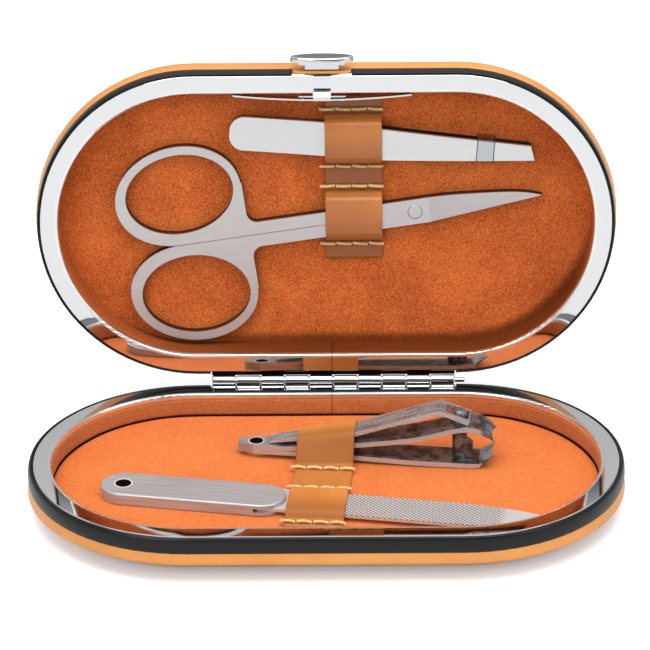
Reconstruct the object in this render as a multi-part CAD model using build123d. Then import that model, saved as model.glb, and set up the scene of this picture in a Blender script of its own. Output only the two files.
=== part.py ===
"""Manicure set case: a hinged two-tray case with four steel tools held under stitched straps.

Millimetres. The origin is the centre of the lower tray's flat underside, +X runs along the
hinge, +Y points from the clasp side to the hinge side and +Z is up. Both trays and the tools
are drawn in a tray frame: x along the case, y across it, z up from the rim plane out of the
tray, with the floor below zero. The lower tray stands in that frame as it is drawn. The lid
is turned over about the hinge pin and stands open at LID_OPEN.
"""

import os
from math import asin, degrees, hypot

from build123d import *

os.makedirs("parts", exist_ok=True)

# ---------------------------------------------------------------- driving sizes of the case
CASE_LENGTH = 121.0       # over the rim, end to end
CASE_WIDTH = 66.0         # over the rim, front to back
TRAY_DEPTH = 10.5         # rim plane to the outside of the leather underside
LOWER_FLOOR = 5.05        # rim plane to the top of the lower floor pad
LID_FLOOR = 7.9           # rim plane to the top of the lid floor pad
LID_OPEN = 96.2           # angle between the trays as the case stands open
RIM_GAP = 0.1             # between the two chrome rims when the case is shut

LEATHER = 0.6
SHELL_WALL = 1.0
BULGE = 0.93              # how far the leather side stands proud of the rim outline
BULGE_DEPTH = 5.75        # below the rim plane, where the side is widest
LOWER_CORNER = (8.0, 0.1)   # run from the widest line in to the flat underside, and fullness:
LID_CORNER = (10.0, 0.4)     # 0.55 would be an elliptical corner, less is flatter

FRAME_GAUGE = 0.5
FRAME_LEG = 3.0           # depth of the rim channel's outer leg
FRAME_LIP = 1.1           # depth of its inner lip
FLANGE_WIDTH = 3.33
FLANGE_FALL = 0.22        # the flange slopes down to the inside
FRAME_WIDTH = 4.14
FRAME_BEVEL = 0.4
SEAM = 0.15               # butt seam of the rim strip and of the lining wall
SEAM_X = 1.0
TRIM_TOP = 0.4
TRIM_EDGE = 0.4
TRIM_CROWN = 0.7

LINING_WALL = 0.5
LINING_INSET = 4.26       # inner face of the lining wall, in from the rim outline
PAD_EDGE_GAP = 0.1
PAD_WALL_GAP = 0.2
REST_GAP = 0.12           # steel tools over the floor pad
SOFT_GAP = 0.3            # leather over steel

# ---------------------------------------------------------------- hinge
KNUCKLE_COUNT = 10
KNUCKLE_PITCH = 5.17
KNUCKLE_SIDE_GAP = 0.12
KNUCKLE_R = 1.2
KNUCKLE_CHAMFER = 0.2
HINGE_CENTRE_X = 1.25
PIN_R = 0.5
PIN_CLEARANCE = 0.05
PIN_PROUD = 2.1
LEAF_GAUGE = 0.65
LEAF_TOP = 0.45           # the leaf's plain edge below the pin's axis
LEAF_DEPTH = 2.9
KNUCKLE_NECK = 0.95       # height of the web between the leaf and each of its knuckles

# ---------------------------------------------------------------- clasp
CLASP_X = -0.5
CLASP_TRAVEL = 1.2
BUTTON_LENGTH = 13.2
TAB_THICK = 0.55
TAB_LAP = 0.35            # how far the leather tab runs down into the cover
TAB_EDGE_GAP = 0.1
BUTTON_HEIGHT = 4.6
BUTTON_THICK = 1.1
BUTTON_STANDOFF = 2.45    # from the rim outline to the button's back
NECK_WIDTH = 9.5
NECK_THICK = 2.0
PUSHER_WIDTH = 7.0
PUSHER_THICK = 1.0
CLASP_DEPTH = 1.8         # the clasp's mid height below the rim plane
CLASP_GAP = 0.25
CATCH_WIDTH = 3.6
CATCH_GAUGE = 0.6
CATCH_REACH = 2.4         # above the lid's rim plane, into the lower tray
NOSE_HEIGHT = 1.0
NOSE_REACH = 1.0
CROSSHEAD_WIDTH = 9.8
CROSSHEAD_HEIGHT = 1.1
SPRING_LENGTH = 37.2
SPRING_HEIGHT = 2.4
SPRING_GAUGE = 0.35
SPRING_BOW = 1.0
SPRING_STANDOFF = 0.12    # the bowed leaf's middle off the crosshead
RIVET_SPACING = 8.2
RIVET_R = 0.7
RIVET_HEAD = 0.35
RIVET_SHANK_R = 0.4
RIVET_LIFT = 0.02         # the bowed leaf's far face at the rivets, less its middle
CROSSHEAD_THICK = 1.0
WING_THICK = 0.4          # the crosshead beside its middle block

# ---------------------------------------------------------------- straps and stitches
STRAP_WIDTH = 12.0
STRAP_GAUGE = 0.65
LOWER_STRAP_TURN = -4.5
LOWER_STRAP_PLACE = (-0.75, 0.0)
LOWER_STITCH_ROWS = (18.1, 3.4, -5.15, -19.7)
LOWER_STRAP_ENDS = (19.8, -21.2)
LID_STRAP_X = 5.9
ARMS_ROWS = (23.35, 10.8)
SHANKS_ROWS = (5.3, -7.5)  # from the screw, as are the shoulders and the strap's end
LID_STRAP_ENDS = (26.3, -10.8)
ARMS_SHOULDERS = (21.5, 12.6)
SHANKS_SHOULDERS = (2.6, -5.8)
ROW_TO_FOOT = 1.25        # from a stitch row to where the strap leaves the pad
STRAP_LEVER_ROOM = 0.95
CLIPPER_STRAP_U = 18.8    # where the strap crosses the clipper, along it
CLIPPER_STRAP_Y = 10.6    # and across the strap's own frame
FILE_STRAP_Y = -12.4
FILE_STRAP_REACH = 5.2
STRAP_FOOT_R = 0.25
STRAP_SHOULDER_R = 1.1
STITCHES = 4
STITCH_R = 0.28
STITCH_SHARE = 0.8

# ---------------------------------------------------------------- scissors
SCISSORS_X = 18.8         # the screw
SCISSORS_FROM_WALL = 29.84  # the screw to the hinge side's lining wall
SCISSORS_TURN = 8.2
SCISSORS_THICK = 2.4
SHANK_HALF = 2.7
SPLIT_GAP = 0.12          # between the two shanks, and between the lapped blades
LAP_R = 9.0
RING_PLACE = (-49.0, 10.85)
RING_OUTER = (13.55, 10.75)
RING_HOLE = (11.55, 8.7)
RING_HOLE_SHIFT = (0.35, 0.35)
RING_TURN = 9.5
WEB_END = -35.3
WEB_FILLET = 2.2
BLADE_LENGTH = 27.1
BLADE_TIP_DROP = 0.45
BLADE_ROOT = 3.6          # from the screw to the heel of the cutting edge
BLADE_MID = (15.0, 1.95)
BLADE_CURL = 0.45         # the back's slope at the tip
BLADE_GRIND = 3.2         # from the screw to where the blade's ground face starts
BLADE_FALL = 0.6          # the ground face falls towards the tip and towards the edge
BLADE_BEVEL = 3.5
SCREW_HEAD_R = 1.5
SCREW_HEAD_DEPTH = 0.6
SCREW_R = 1.0

# ---------------------------------------------------------------- tweezers
TWEEZERS_PLACE = (-20.1, 19.0)
TWEEZERS_TURN = -4.3
TWEEZERS_LENGTH = 63.8
ARM_GAUGE = 0.9
ARM_WIDTH = 7.3
TIP_WIDTH = 3.1
TIP_SLANT = 0.5
WELD_LENGTH = 12.0
ARM_BOW = 0.8             # how far each arm stands off the middle plane at its widest
TIP_GAP = 1.2
ARM_BELLY = 0.55          # where the arms stand furthest apart, as a share of their length
WELD_GAP = 0.01
UPPER_TAPER_START = 0.33
SLEEVE_LENGTH = 3.7
SLEEVE_FROM_TIP = 11.8    # from its back end to the arms' tips
SLEEVE_WALL = 0.2
SLEEVE_GAP = 0.06
SLEEVE_ROUND = 0.3

# ---------------------------------------------------------------- nail clipper
CLIPPER_PLACE = (-19.6, 12.2)
CLIPPER_TURN = -5.2
CLIPPER_LENGTH = 55.0
JAW_GAUGE = 1.0
HEAD_WIDTH = 7.2
TAIL_WIDTH = 2.6
TAIL_END = 1.2            # the jaws' round end, along the lever's scale
TAIL_HOLE = 5.0
TAIL_HOLE_R = 1.4
TAIL_WALL = 0.75          # beside the hole
JAWS_JOINED = 11.0
JAW_PARTING = 0.065       # slope at which the upper jaw leaves the lower one
TAIL_LIFT = 0.8
JAW_MID = (27.0, 3.7)     # along, height of the upper jaw's underside there
JAW_RISE = (13.0, 6.6)    # back from the cutting edges, height
JAW_HEAD = (6.5, 8.3)
JAW_WINDOW = (16.7, 5.0, 1.3)  # back from the edges, length and width of the jaw's slot
LIP_DEPTH = 3.5           # the turned lips, back from the cutting edges
LOWER_LIP_TOP = 3.5
UPPER_LIP_BOTTOM = 5.9
LIP_HOLLOW_R = 9.0        # the crescent of the cutting edges
LIP_HOLLOW = 0.9
BITE_DRIFT = 0.5          # the post's slot in the upper jaw is longer by this each way
POST_BACK = 7.6           # the post's axis, back from the cutting edges
POST_R = 1.55
POST_GAP = 0.08
POST_TOP = 11.9
POST_FOOT_R = 2.15
POST_FOOT = 0.4
FOOT_GAP = 0.05
CHEEK_LIFT = 0.35         # the footing plate over the lower jaw
CHEEK_REACH = 2.7         # the post's footing plate: out from the post's axis
CHEEK_BEND = 4.1
CHEEK_TOP = 5.7
CHEEK_WIDTH = 2.2
CROSS_PIN_R = 0.38
CROSS_PIN_DOWN = 1.35     # below the post's top
LEVER_START = 8.0
LEVER_TIP_GAUGE = 0.55
LEVER_GAUGE = 0.9
LEVER_WIDTH = 5.3
LEVER_TAIL_WIDTH = 2.9
LEVER_LIFT = 3.1          # underside of its tail above the clipper's base
LEVER_MID = (26.0, 6.0)
LEVER_CREST = (4.1, 11.75)  # back from the post's axis, height of the underside
LEVER_NOSE = (-1.8, 9.45)
LEVER_SLOT_WIDTH = 3.4
LEVER_SLOT_BACK = 2.8

# ---------------------------------------------------------------- nail file
FILE_PLACE = (-29.0, -8.0)
FILE_TURN = -10.3
HANDLE_BACK = -17.2
HANDLE_FRONT = 21.2
HANDLE_WIDTH = 9.6
HANDLE_THICK = 2.4
HANDLE_HOLE_R = 1.6
HANDLE_HOLE_IN = 4.6
HOLE_CHAMFER = 0.3
BLADE_SLOT = 15.8
BLADE_GAUGE = 0.7
BLADE_UP = 0.75           # the file blade's underside above the handle's
FILE_WIDTH = 8.6
FILE_OFFSET = 0.5         # the blade's middle to the back of the handle's
FILE_TIP = 73.0
FILE_TIP_ACROSS = 2.2     # the tip lies towards the far edge
FILE_NOSE = 11.0          # length of the near edge's curve up to the tip
FILE_TAPER = 23.0         # and of the far edge's gentler one

# ---------------------------------------------------------------- worked out from the above
CROSS_PIN_UP = POST_TOP - CROSS_PIN_DOWN
POST_U = CLIPPER_LENGTH - POST_BACK
LIP_START = CLIPPER_LENGTH - LIP_DEPTH
CREST = (POST_U - LEVER_CREST[0], LEVER_CREST[1])
NOSE = (POST_U - LEVER_NOSE[0], LEVER_NOSE[1])
HALF_WIDTH = CASE_WIDTH / 2
END_X = (CASE_LENGTH - CASE_WIDTH) / 2
RIM_Z = TRAY_DEPTH + RIM_GAP / 2
HINGE_Y = HALF_WIDTH + LEAF_GAUGE + KNUCKLE_R
HINGE_START = HINGE_CENTRE_X - KNUCKLE_COUNT * KNUCKLE_PITCH / 2
HINGE_LENGTH = KNUCKLE_COUNT * KNUCKLE_PITCH
RIM_DROP = RIM_GAP / 2
LOWER = Pos(0, 0, RIM_Z)
LID = Pos(0, HINGE_Y, RIM_Z) * Rot(180 - LID_OPEN, 0, 0) * Pos(0, HINGE_Y, 0)
LIP_FACE = HALF_WIDTH - FRAME_WIDTH
SCISSORS_Y = SCISSORS_FROM_WALL - (HALF_WIDTH - LINING_INSET)
LID_STITCH_ROWS = (*ARMS_ROWS, *(SCISSORS_Y + row for row in SHANKS_ROWS))


# ================================================================ the trays
def around(section):
    """Carries a closed section round the tray. It is drawn as distance from the tray's long
    axis (x) and height (y)."""
    right_end = Pos(END_X, 0, 0) * revolve(Rot(0, 0, -90) * (Plane.XZ * section), Axis.Z, 180)
    left_end = Rot(0, 0, 180) * right_end
    straight = Plane((-END_X, 0, 0), x_dir=(0, 1, 0), z_dir=(1, 0, 0)) * section
    back = extrude(straight, amount=2 * END_X, dir=(1, 0, 0))
    front = Rot(0, 0, 180) * back
    return (right_end + left_end + back + front).clean()


def side_curve(inset, corner):
    """The tray's side from the top of the leather down to the flat underside, moved in by inset."""
    corner_run, fullness = corner
    top_y = -FRAME_LEG - RIM_DROP
    widest = (HALF_WIDTH + BULGE - inset, -BULGE_DEPTH)
    flat = (HALF_WIDTH + BULGE - corner_run, -TRAY_DEPTH + inset)
    drop = widest[1] - flat[1]
    run = widest[0] - flat[0]
    rise = top_y - widest[1]
    lean = BULGE - TRIM_EDGE
    radius = (rise**2 + lean**2) / (2 * lean)
    upper = JernArc(widest, (0, 1), radius, degrees(asin(rise / radius)))
    lower = Bezier(
        widest,
        (widest[0], widest[1] - fullness * drop),
        (flat[0] + fullness * run, flat[1]),
        flat,
    )
    return upper, lower


def bowl_section(outer_inset, inner_inset, corner):
    """Between two side curves, closed across the top and on the long axis."""
    outer_upper, outer_lower = side_curve(outer_inset, corner)
    inner_upper, inner_lower = side_curve(inner_inset, corner)
    outer_flat = Line(outer_lower @ 1, (0, (outer_lower @ 1).Y))
    middle = Line(outer_flat @ 1, (0, (inner_lower @ 1).Y))
    inner_flat = Line(middle @ 1, inner_lower @ 1)
    top = Line(outer_upper @ 1, inner_upper @ 1)
    return make_face([outer_upper, outer_lower, outer_flat, middle, inner_flat, inner_lower,
                      inner_upper, top])


def leather_cover(corner):
    return around(bowl_section(0, LEATHER, corner))


def tray_shell(corner):
    """A moulded bowl, stepped at the top so that the rim channel's leg sits over it."""
    bowl = around(bowl_section(LEATHER, LEATHER + SHELL_WALL, corner))
    outer = HALF_WIDTH - FRAME_GAUGE
    inner = outer - SHELL_WALL
    low = -FRAME_LEG - RIM_DROP
    high = -FRAME_GAUGE - RIM_DROP - FLANGE_FALL
    neck = around(Pos((outer + inner) / 2, (low + high) / 2) * Rectangle(SHELL_WALL, high - low))
    joint_in = HALF_WIDTH + TRIM_EDGE - LEATHER - SHELL_WALL
    step_low = low - SHELL_WALL
    step = make_face(Polyline((outer, low), (inner, low), (joint_in, step_low),
                              (joint_in + SHELL_WALL, step_low), (outer, low)))
    return bowl + neck + around(step)


def rim_channel(seam_side):
    """The bright rim: a bevelled flange with an outer leg and a rolled inner lip."""
    edge = HALF_WIDTH
    gauge = FRAME_GAUGE
    top = -RIM_DROP
    lip_x = edge - FRAME_WIDTH
    flange_end = (edge - FLANGE_WIDTH, top - FLANGE_FALL)
    roll_end = (lip_x, top - gauge - FLANGE_FALL / 2)
    roll = ThreePointArc(flange_end, (lip_x + gauge / 2, top - FLANGE_FALL), roll_end)
    rest = Polyline(
        roll_end, (lip_x, -FRAME_LIP), (lip_x + gauge, -FRAME_LIP),
        (lip_x + gauge, top - FLANGE_FALL - gauge), (edge - gauge, top - gauge),
        (edge - gauge, -FRAME_LEG), (edge, -FRAME_LEG), (edge, top - FRAME_BEVEL),
        (edge - FRAME_BEVEL, top), flange_end,
    )
    ring = around(make_face([roll, rest]))
    seam = Pos(SEAM_X, seam_side * HALF_WIDTH, 0) * Box(SEAM, 2 * FRAME_WIDTH + 1, 4 * FRAME_LEG)
    return ring - seam


def edge_trim():
    """The dark bead round the rim channel's outer leg."""
    low = -FRAME_LEG - RIM_DROP + 0.02
    high = -TRIM_TOP - RIM_DROP
    crown = ThreePointArc(
        (HALF_WIDTH + TRIM_EDGE, high),
        (HALF_WIDTH + TRIM_CROWN, (high + low) / 2),
        (HALF_WIDTH + TRIM_EDGE, low),
    )
    back = Polyline(crown @ 1, (HALF_WIDTH, low), (HALF_WIDTH, high), crown @ 0)
    return around(make_face([crown, back]))


def lining_wall(floor, seam_side):
    inner = HALF_WIDTH - LINING_INSET
    low = -floor + PAD_WALL_GAP
    band = Pos(inner + LINING_WALL / 2, (low - FRAME_LIP) / 2) * Rectangle(
        LINING_WALL, -FRAME_LIP - low)
    seam = Pos(SEAM_X, seam_side * inner, 0) * Box(SEAM, 4 * LINING_WALL, 2 * TRAY_DEPTH)
    return around(band) - seam


def floor_pad(floor, corner):
    """The padded floor board. Its underside slopes at the edge to follow the shell."""
    edge = HALF_WIDTH - LINING_INSET - PAD_EDGE_GAP
    base = -TRAY_DEPTH + LEATHER + SHELL_WALL
    flat = HALF_WIDTH + BULGE - corner[0]
    rounding = side_curve(LEATHER + SHELL_WALL, corner)[1]
    spots = [rounding @ (step / 60) for step in range(61)]
    shell_at_edge = min(spot.Y for spot in spots if spot.X >= edge)
    low = min(shell_at_edge, -floor - 0.1)
    outline = Polyline((0, -floor), (edge, -floor), (edge, low), (flat, base), (0, base),
                       (0, -floor))
    return around(make_face(outline))


# ================================================================ hinge
def knuckle_span(index):
    start = HINGE_START + index * KNUCKLE_PITCH + KNUCKLE_SIDE_GAP / 2
    return start, KNUCKLE_PITCH - KNUCKLE_SIDE_GAP


def hinge_leaf(first, side):
    """One leaf in its tray frame: a plate on the rim channel's outer leg, rolled into every
    second knuckle. side is +1 where the hinge is on the tray's +y side."""
    inner = HALF_WIDTH
    plate_height = LEAF_DEPTH - LEAF_TOP
    leaf = Pos(HINGE_CENTRE_X, inner + LEAF_GAUGE / 2, -LEAF_TOP - plate_height / 2) * Box(
        HINGE_LENGTH, LEAF_GAUGE, plate_height)
    for index in range(first, KNUCKLE_COUNT, 2):
        start, length = knuckle_span(index)
        middle = start + length / 2
        neck = Pos(middle, (inner + HINGE_Y - PIN_R) / 2, -KNUCKLE_NECK / 2 - 0.02) * Box(
            length - 2 * KNUCKLE_CHAMFER, HINGE_Y - PIN_R - inner, KNUCKLE_NECK)
        barrel = Pos(middle, HINGE_Y, 0) * Rot(0, 90, 0) * Cylinder(KNUCKLE_R, length)
        barrel = chamfer(barrel.edges().filter_by(GeomType.CIRCLE), KNUCKLE_CHAMFER)
        leaf += neck + barrel
    bore = Pos(HINGE_CENTRE_X, HINGE_Y, 0) * Rot(0, 90, 0) * Cylinder(
        PIN_R + PIN_CLEARANCE, HINGE_LENGTH + 2)
    leaf -= bore
    return leaf if side > 0 else mirror(leaf, about=Plane.XZ)


def hinge_pin():
    length = HINGE_LENGTH + PIN_PROUD
    pin = Pos(HINGE_CENTRE_X + PIN_PROUD / 2, HINGE_Y, 0) * Rot(0, 90, 0) * Cylinder(PIN_R, length)
    return chamfer(pin.edges().filter_by(GeomType.CIRCLE), 0.12)


def hinge_notch(side):
    """Where the dark trim stops for the hinge leaf."""
    length = HINGE_LENGTH + 0.6
    return Pos(HINGE_CENTRE_X, side * (HALF_WIDTH + 1), 0) * Box(length, 2.8, 4 * FRAME_LEG)


# ================================================================ clasp, in the lid's tray frame
def clasp_slot(width, height):
    """The way through the lid's front for the pusher."""
    run = 2 * LINING_INSET + 4
    return Pos(CLASP_X, HALF_WIDTH - LINING_INSET / 2, -CLASP_DEPTH) * Box(width, run, height)


def pusher_slot():
    return clasp_slot(PUSHER_WIDTH + 2 * CLASP_GAP, PUSHER_THICK + 2 * CLASP_GAP)


def trim_notch():
    width = BUTTON_LENGTH - 0.8
    return Pos(CLASP_X, HALF_WIDTH + 1, 0) * Box(width, 2.4, 4 * FRAME_LEG)


def cover_tab():
    """The leather between the two ends of the dark trim, with the pusher's way through it."""
    width = BUTTON_LENGTH - 0.8 - 2 * TAB_EDGE_GAP
    high = -TRIM_TOP - RIM_DROP
    low = -FRAME_LEG - RIM_DROP - TAB_LAP
    tab = Pos(CLASP_X, HALF_WIDTH + 0.02 + TAB_THICK / 2, (high + low) / 2) * Box(
        width, TAB_THICK, high - low)
    return tab - pusher_slot()


def clasp_button():
    """An oval thumb plate, its neck and the pusher that runs through the lid's front."""
    back = HALF_WIDTH + BUTTON_STANDOFF
    face = Plane((CLASP_X, back, -CLASP_DEPTH), x_dir=(1, 0, 0), z_dir=(0, 1, 0))
    plate = extrude(face * Ellipse(BUTTON_LENGTH / 2, BUTTON_HEIGHT / 2), amount=BUTTON_THICK)
    plate = fillet(plate.edges().sort_by(Axis.Y)[-1], 0.45)
    neck_in = HALF_WIDTH + TAB_THICK + CLASP_TRAVEL + 0.05
    neck = Pos(CLASP_X, (neck_in + back) / 2, -CLASP_DEPTH) * Box(
        NECK_WIDTH, back - neck_in, NECK_THICK)
    inner = LIP_FACE - CLASP_GAP
    stem = Pos(CLASP_X, (inner + neck_in) / 2, -CLASP_DEPTH) * Box(
        PUSHER_WIDTH, neck_in - inner, PUSHER_THICK)
    return plate + neck + stem


def rivet_shanks(radius):
    """Where the two rivets run through the leaf spring and the crosshead's wings."""
    outer = LIP_FACE - CLASP_GAP - CROSSHEAD_THICK + WING_THICK
    length = WING_THICK + SPRING_STANDOFF + SPRING_GAUGE
    return [
        Pos(CLASP_X + side * RIVET_SPACING / 2, outer - length / 2, -CLASP_DEPTH)
        * Rot(90, 0, 0) * Cylinder(radius, length) for side in (-1, 1)
    ]


def clasp_catch():
    """A crosshead on the pusher's end with a hooked tongue that stands out of the lid."""
    outer = LIP_FACE - CLASP_GAP
    cross = Pos(CLASP_X, outer - CROSSHEAD_THICK / 2, -CLASP_DEPTH) * Box(
        CATCH_WIDTH, CROSSHEAD_THICK, CROSSHEAD_HEIGHT)
    cross += Pos(CLASP_X, outer - CROSSHEAD_THICK + WING_THICK / 2, -CLASP_DEPTH) * Box(
        CROSSHEAD_WIDTH, WING_THICK, CROSSHEAD_HEIGHT)
    side = Plane((CLASP_X - CATCH_WIDTH / 2, 0, 0), x_dir=(0, 1, 0), z_dir=(1, 0, 0))
    back = outer - CATCH_GAUGE
    step = CATCH_REACH - NOSE_HEIGHT
    tongue = Polyline(
        (back, -CLASP_DEPTH), (outer, -CLASP_DEPTH), (outer, step), (outer + NOSE_REACH, step),
        (outer + NOSE_REACH * 0.3, CATCH_REACH), (back, CATCH_REACH), (back, -CLASP_DEPTH),
    )
    catch = cross + extrude(side * make_face(tongue), amount=CATCH_WIDTH, dir=(1, 0, 0))
    return catch - rivet_shanks(RIVET_SHANK_R + PIN_CLEARANCE)


def clasp_spring():
    """A bowed leaf: its ends bear on the lining under the rim's lip, its middle on the catch."""
    middle = LIP_FACE - CLASP_GAP - CROSSHEAD_THICK - SPRING_STANDOFF
    half = SPRING_LENGTH / 2
    end = middle + SPRING_BOW
    near = ThreePointArc((CLASP_X - half, end), (CLASP_X, middle), (CLASP_X + half, end))
    far = ThreePointArc((CLASP_X - half, end - SPRING_GAUGE), (CLASP_X, middle - SPRING_GAUGE),
                        (CLASP_X + half, end - SPRING_GAUGE))
    outline = make_face([near, far, Line(near @ 0, far @ 0), Line(near @ 1, far @ 1)])
    leaf = Pos(0, 0, -CLASP_DEPTH - SPRING_HEIGHT / 2) * extrude(outline, amount=SPRING_HEIGHT)
    return leaf - rivet_shanks(RIVET_SHANK_R + PIN_CLEARANCE)


def clasp_rivets():
    """Two rivets through the leaf and the crosshead, with domed heads inside the case."""
    shanks = rivet_shanks(RIVET_SHANK_R)
    seat = LIP_FACE - CLASP_GAP - CROSSHEAD_THICK - SPRING_STANDOFF - SPRING_GAUGE + RIVET_LIFT
    rivets = []
    for side, shank in zip((-1, 1), shanks):
        at = Plane((CLASP_X + side * RIVET_SPACING / 2, seat, -CLASP_DEPTH), z_dir=(0, -1, 0))
        head = at * Cylinder(RIVET_R, RIVET_HEAD, align=(Align.CENTER, Align.CENTER, Align.MIN))
        head = fillet(head.edges().sort_by(Axis.Y)[0], RIVET_HEAD * 0.8)
        rivets.append(shank + head)
    return Compound(rivets)


# ================================================================ straps
def raised(points, gauge):
    """The same bent line moved to its upper side. The line runs from the back forwards."""
    normals = []
    for (y0, z0), (y1, z1) in zip(points, points[1:]):
        length = hypot(y1 - y0, z1 - z0)
        normals.append(((z1 - z0) / length, (y0 - y1) / length))
    moved = []
    for (y, z), before, after in zip(points, normals[:1] + normals, normals + normals[-1:]):
        share = gauge / (1 + before[0] * after[0] + before[1] * after[1])
        moved.append((y + share * (before[0] + after[0]), z + share * (before[1] + after[1])))
    return moved


def strap_face(humps, ends, plane):
    """A strap's long section: flat on the pad, with a hump over each tool. Each hump gives its
    two feet, its two shoulders and the clear height under it, from the back forwards."""
    points = [(ends[0], 0)]
    for back_foot, back_shoulder, front_shoulder, front_foot, height in humps:
        points += [(back_foot, 0), (back_shoulder, height), (front_shoulder, height),
                   (front_foot, 0)]
    points.append((ends[1], 0))
    foot, shoulder = STRAP_FOOT_R, STRAP_SHOULDER_R
    under_radii = [foot + STRAP_GAUGE, shoulder, shoulder, foot + STRAP_GAUGE] * len(humps)
    over_radii = [foot, shoulder + STRAP_GAUGE, shoulder + STRAP_GAUGE, foot] * len(humps)
    under = FilletPolyline(*points, radius=under_radii)
    over = FilletPolyline(*raised(points, STRAP_GAUGE), radius=over_radii)
    back_end = Line(under @ 0, over @ 0)
    front_end = Line(under @ 1, over @ 1)
    return plane * make_face([under, back_end, over, front_end])


def strap(left_humps, right_humps, ends):
    """Lofted between its two edges, so that a hump may be higher on one side."""
    half = STRAP_WIDTH / 2
    left = strap_face(left_humps, ends, Plane((-half, 0, 0), x_dir=(0, 1, 0), z_dir=(1, 0, 0)))
    right = strap_face(right_humps, ends, Plane((half, 0, 0), x_dir=(0, 1, 0), z_dir=(1, 0, 0)))
    return loft([left, right], ruled=True)


def lower_strap_humps(side):
    """The humps over the clipper and the file, at the strap's left (-1) or right (+1) edge. The
    lever under the back one rises to the right."""
    lever_u = CLIPPER_STRAP_U + side * STRAP_WIDTH / 2
    height = REST_GAP + lever_underside(lever_u) + LEVER_GAUGE + SOFT_GAP
    reach = STRAP_LEVER_ROOM + lever_half(lever_u)
    over_clipper = (
        LOWER_STITCH_ROWS[0] - ROW_TO_FOOT, CLIPPER_STRAP_Y + reach, CLIPPER_STRAP_Y - reach,
        LOWER_STITCH_ROWS[1] + ROW_TO_FOOT, height)
    file_height = REST_GAP + BLADE_UP + BLADE_GAUGE + SOFT_GAP
    over_file = (
        LOWER_STITCH_ROWS[2] - ROW_TO_FOOT, FILE_STRAP_Y + FILE_STRAP_REACH,
        FILE_STRAP_Y - FILE_STRAP_REACH, LOWER_STITCH_ROWS[3] + ROW_TO_FOOT, file_height)
    return [over_clipper, over_file]


def lid_strap_humps(tweezers_depth):
    arms = tweezers_depth + REST_GAP + SOFT_GAP
    shanks = SCISSORS_THICK + REST_GAP + SOFT_GAP
    return [
        (LID_STITCH_ROWS[0] - ROW_TO_FOOT, *ARMS_SHOULDERS, LID_STITCH_ROWS[1] + ROW_TO_FOOT, arms),
        (LID_STITCH_ROWS[2] - ROW_TO_FOOT, *(SCISSORS_Y + y for y in SHANKS_SHOULDERS),
         LID_STITCH_ROWS[3] + ROW_TO_FOOT, shanks),
    ]


def stitches(rows):
    """Short bars of thread on top of the strap, each row across its width."""
    pitch = STRAP_WIDTH / STITCHES
    bar = Rot(0, 90, 0) * Cylinder(STITCH_R, pitch * STITCH_SHARE)
    bar = fillet(bar.edges().filter_by(GeomType.CIRCLE), STITCH_R * 0.6)
    height = STRAP_GAUGE + STITCH_R + 0.02
    return Compound([
        Pos((index + 0.5) * pitch - STRAP_WIDTH / 2, row, height) * bar
        for row in rows for index in range(STITCHES)
    ])


# ================================================================ scissors
def handle_plan():
    """One handle seen from above, on the +y side of the line where the shanks meet."""
    edge = SPLIT_GAP / 2
    ring = Pos(*RING_PLACE) * Rot(0, 0, RING_TURN) * Ellipse(*RING_OUTER)
    web = make_face(Polyline(
        (RING_PLACE[0], edge), (0, edge), (0, SHANK_HALF), (WEB_END, SHANK_HALF),
        (WEB_END, RING_PLACE[1] + 1), RING_PLACE, (RING_PLACE[0], edge)))
    plan = ring + web
    corner = plan.vertices().sort_by_distance((WEB_END, SHANK_HALF))[0]
    plan = fillet(corner, WEB_FILLET)
    hole = Pos(RING_PLACE[0] + RING_HOLE_SHIFT[0], RING_PLACE[1] + RING_HOLE_SHIFT[1]) * Rot(
        0, 0, RING_TURN / 2) * Ellipse(*RING_HOLE)
    below = Pos(RING_PLACE[0], edge - RING_OUTER[0]) * Rectangle(
        4 * RING_OUTER[0], 2 * RING_OUTER[0])
    return plan - hole - below


def blade_plan():
    """The lapped joint round the screw and the blade beyond it."""
    lap = Circle(LAP_R) & Rectangle(2 * LAP_R, 2 * SHANK_HALF)
    lap &= Pos(BLADE_ROOT - 2 * LAP_R, 0) * Rectangle(4 * LAP_R, 4 * SHANK_HALF)
    tip = (BLADE_LENGTH, -BLADE_TIP_DROP)
    back = Spline((BLADE_ROOT, SHANK_HALF), BLADE_MID, tip, tangents=[(1, 0), (1, -BLADE_CURL)])
    root = Polyline(tip, (BLADE_ROOT, -SHANK_HALF), (0, -SHANK_HALF), (0, SHANK_HALF),
                    (BLADE_ROOT, SHANK_HALF))
    return lap + make_face([back, root])


def scissors_half(upper):
    """One half: full thickness at its handle, half thickness at the joint and in the blade."""
    layer = (SCISSORS_THICK - SPLIT_GAP) / 2
    handle = handle_plan() if upper else mirror(handle_plan(), about=Plane.XZ)
    beyond_lap = handle - Circle(LAP_R + SPLIT_GAP)
    thin = (handle & Circle(LAP_R + 2 * SPLIT_GAP)) + blade_plan()
    thick_part = extrude(beyond_lap, amount=SCISSORS_THICK)
    lift = SCISSORS_THICK - layer if upper else 0
    half = thick_part + Pos(0, 0, lift) * extrude(thin, amount=layer)
    grind = Pos(BLADE_GRIND, SHANK_HALF, SCISSORS_THICK) * Rot(BLADE_BEVEL, BLADE_FALL, 0) * Box(
        3 * BLADE_LENGTH, 6 * SHANK_HALF, 2, align=(Align.MIN, Align.CENTER, Align.MIN))
    if upper:
        half -= grind
        half -= Pos(0, 0, SCISSORS_THICK) * Cylinder(
            SCREW_HEAD_R + PIN_CLEARANCE, 2 * SCREW_HEAD_DEPTH)
    return half - Cylinder(SCREW_R + PIN_CLEARANCE, 3 * SCISSORS_THICK)


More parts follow.
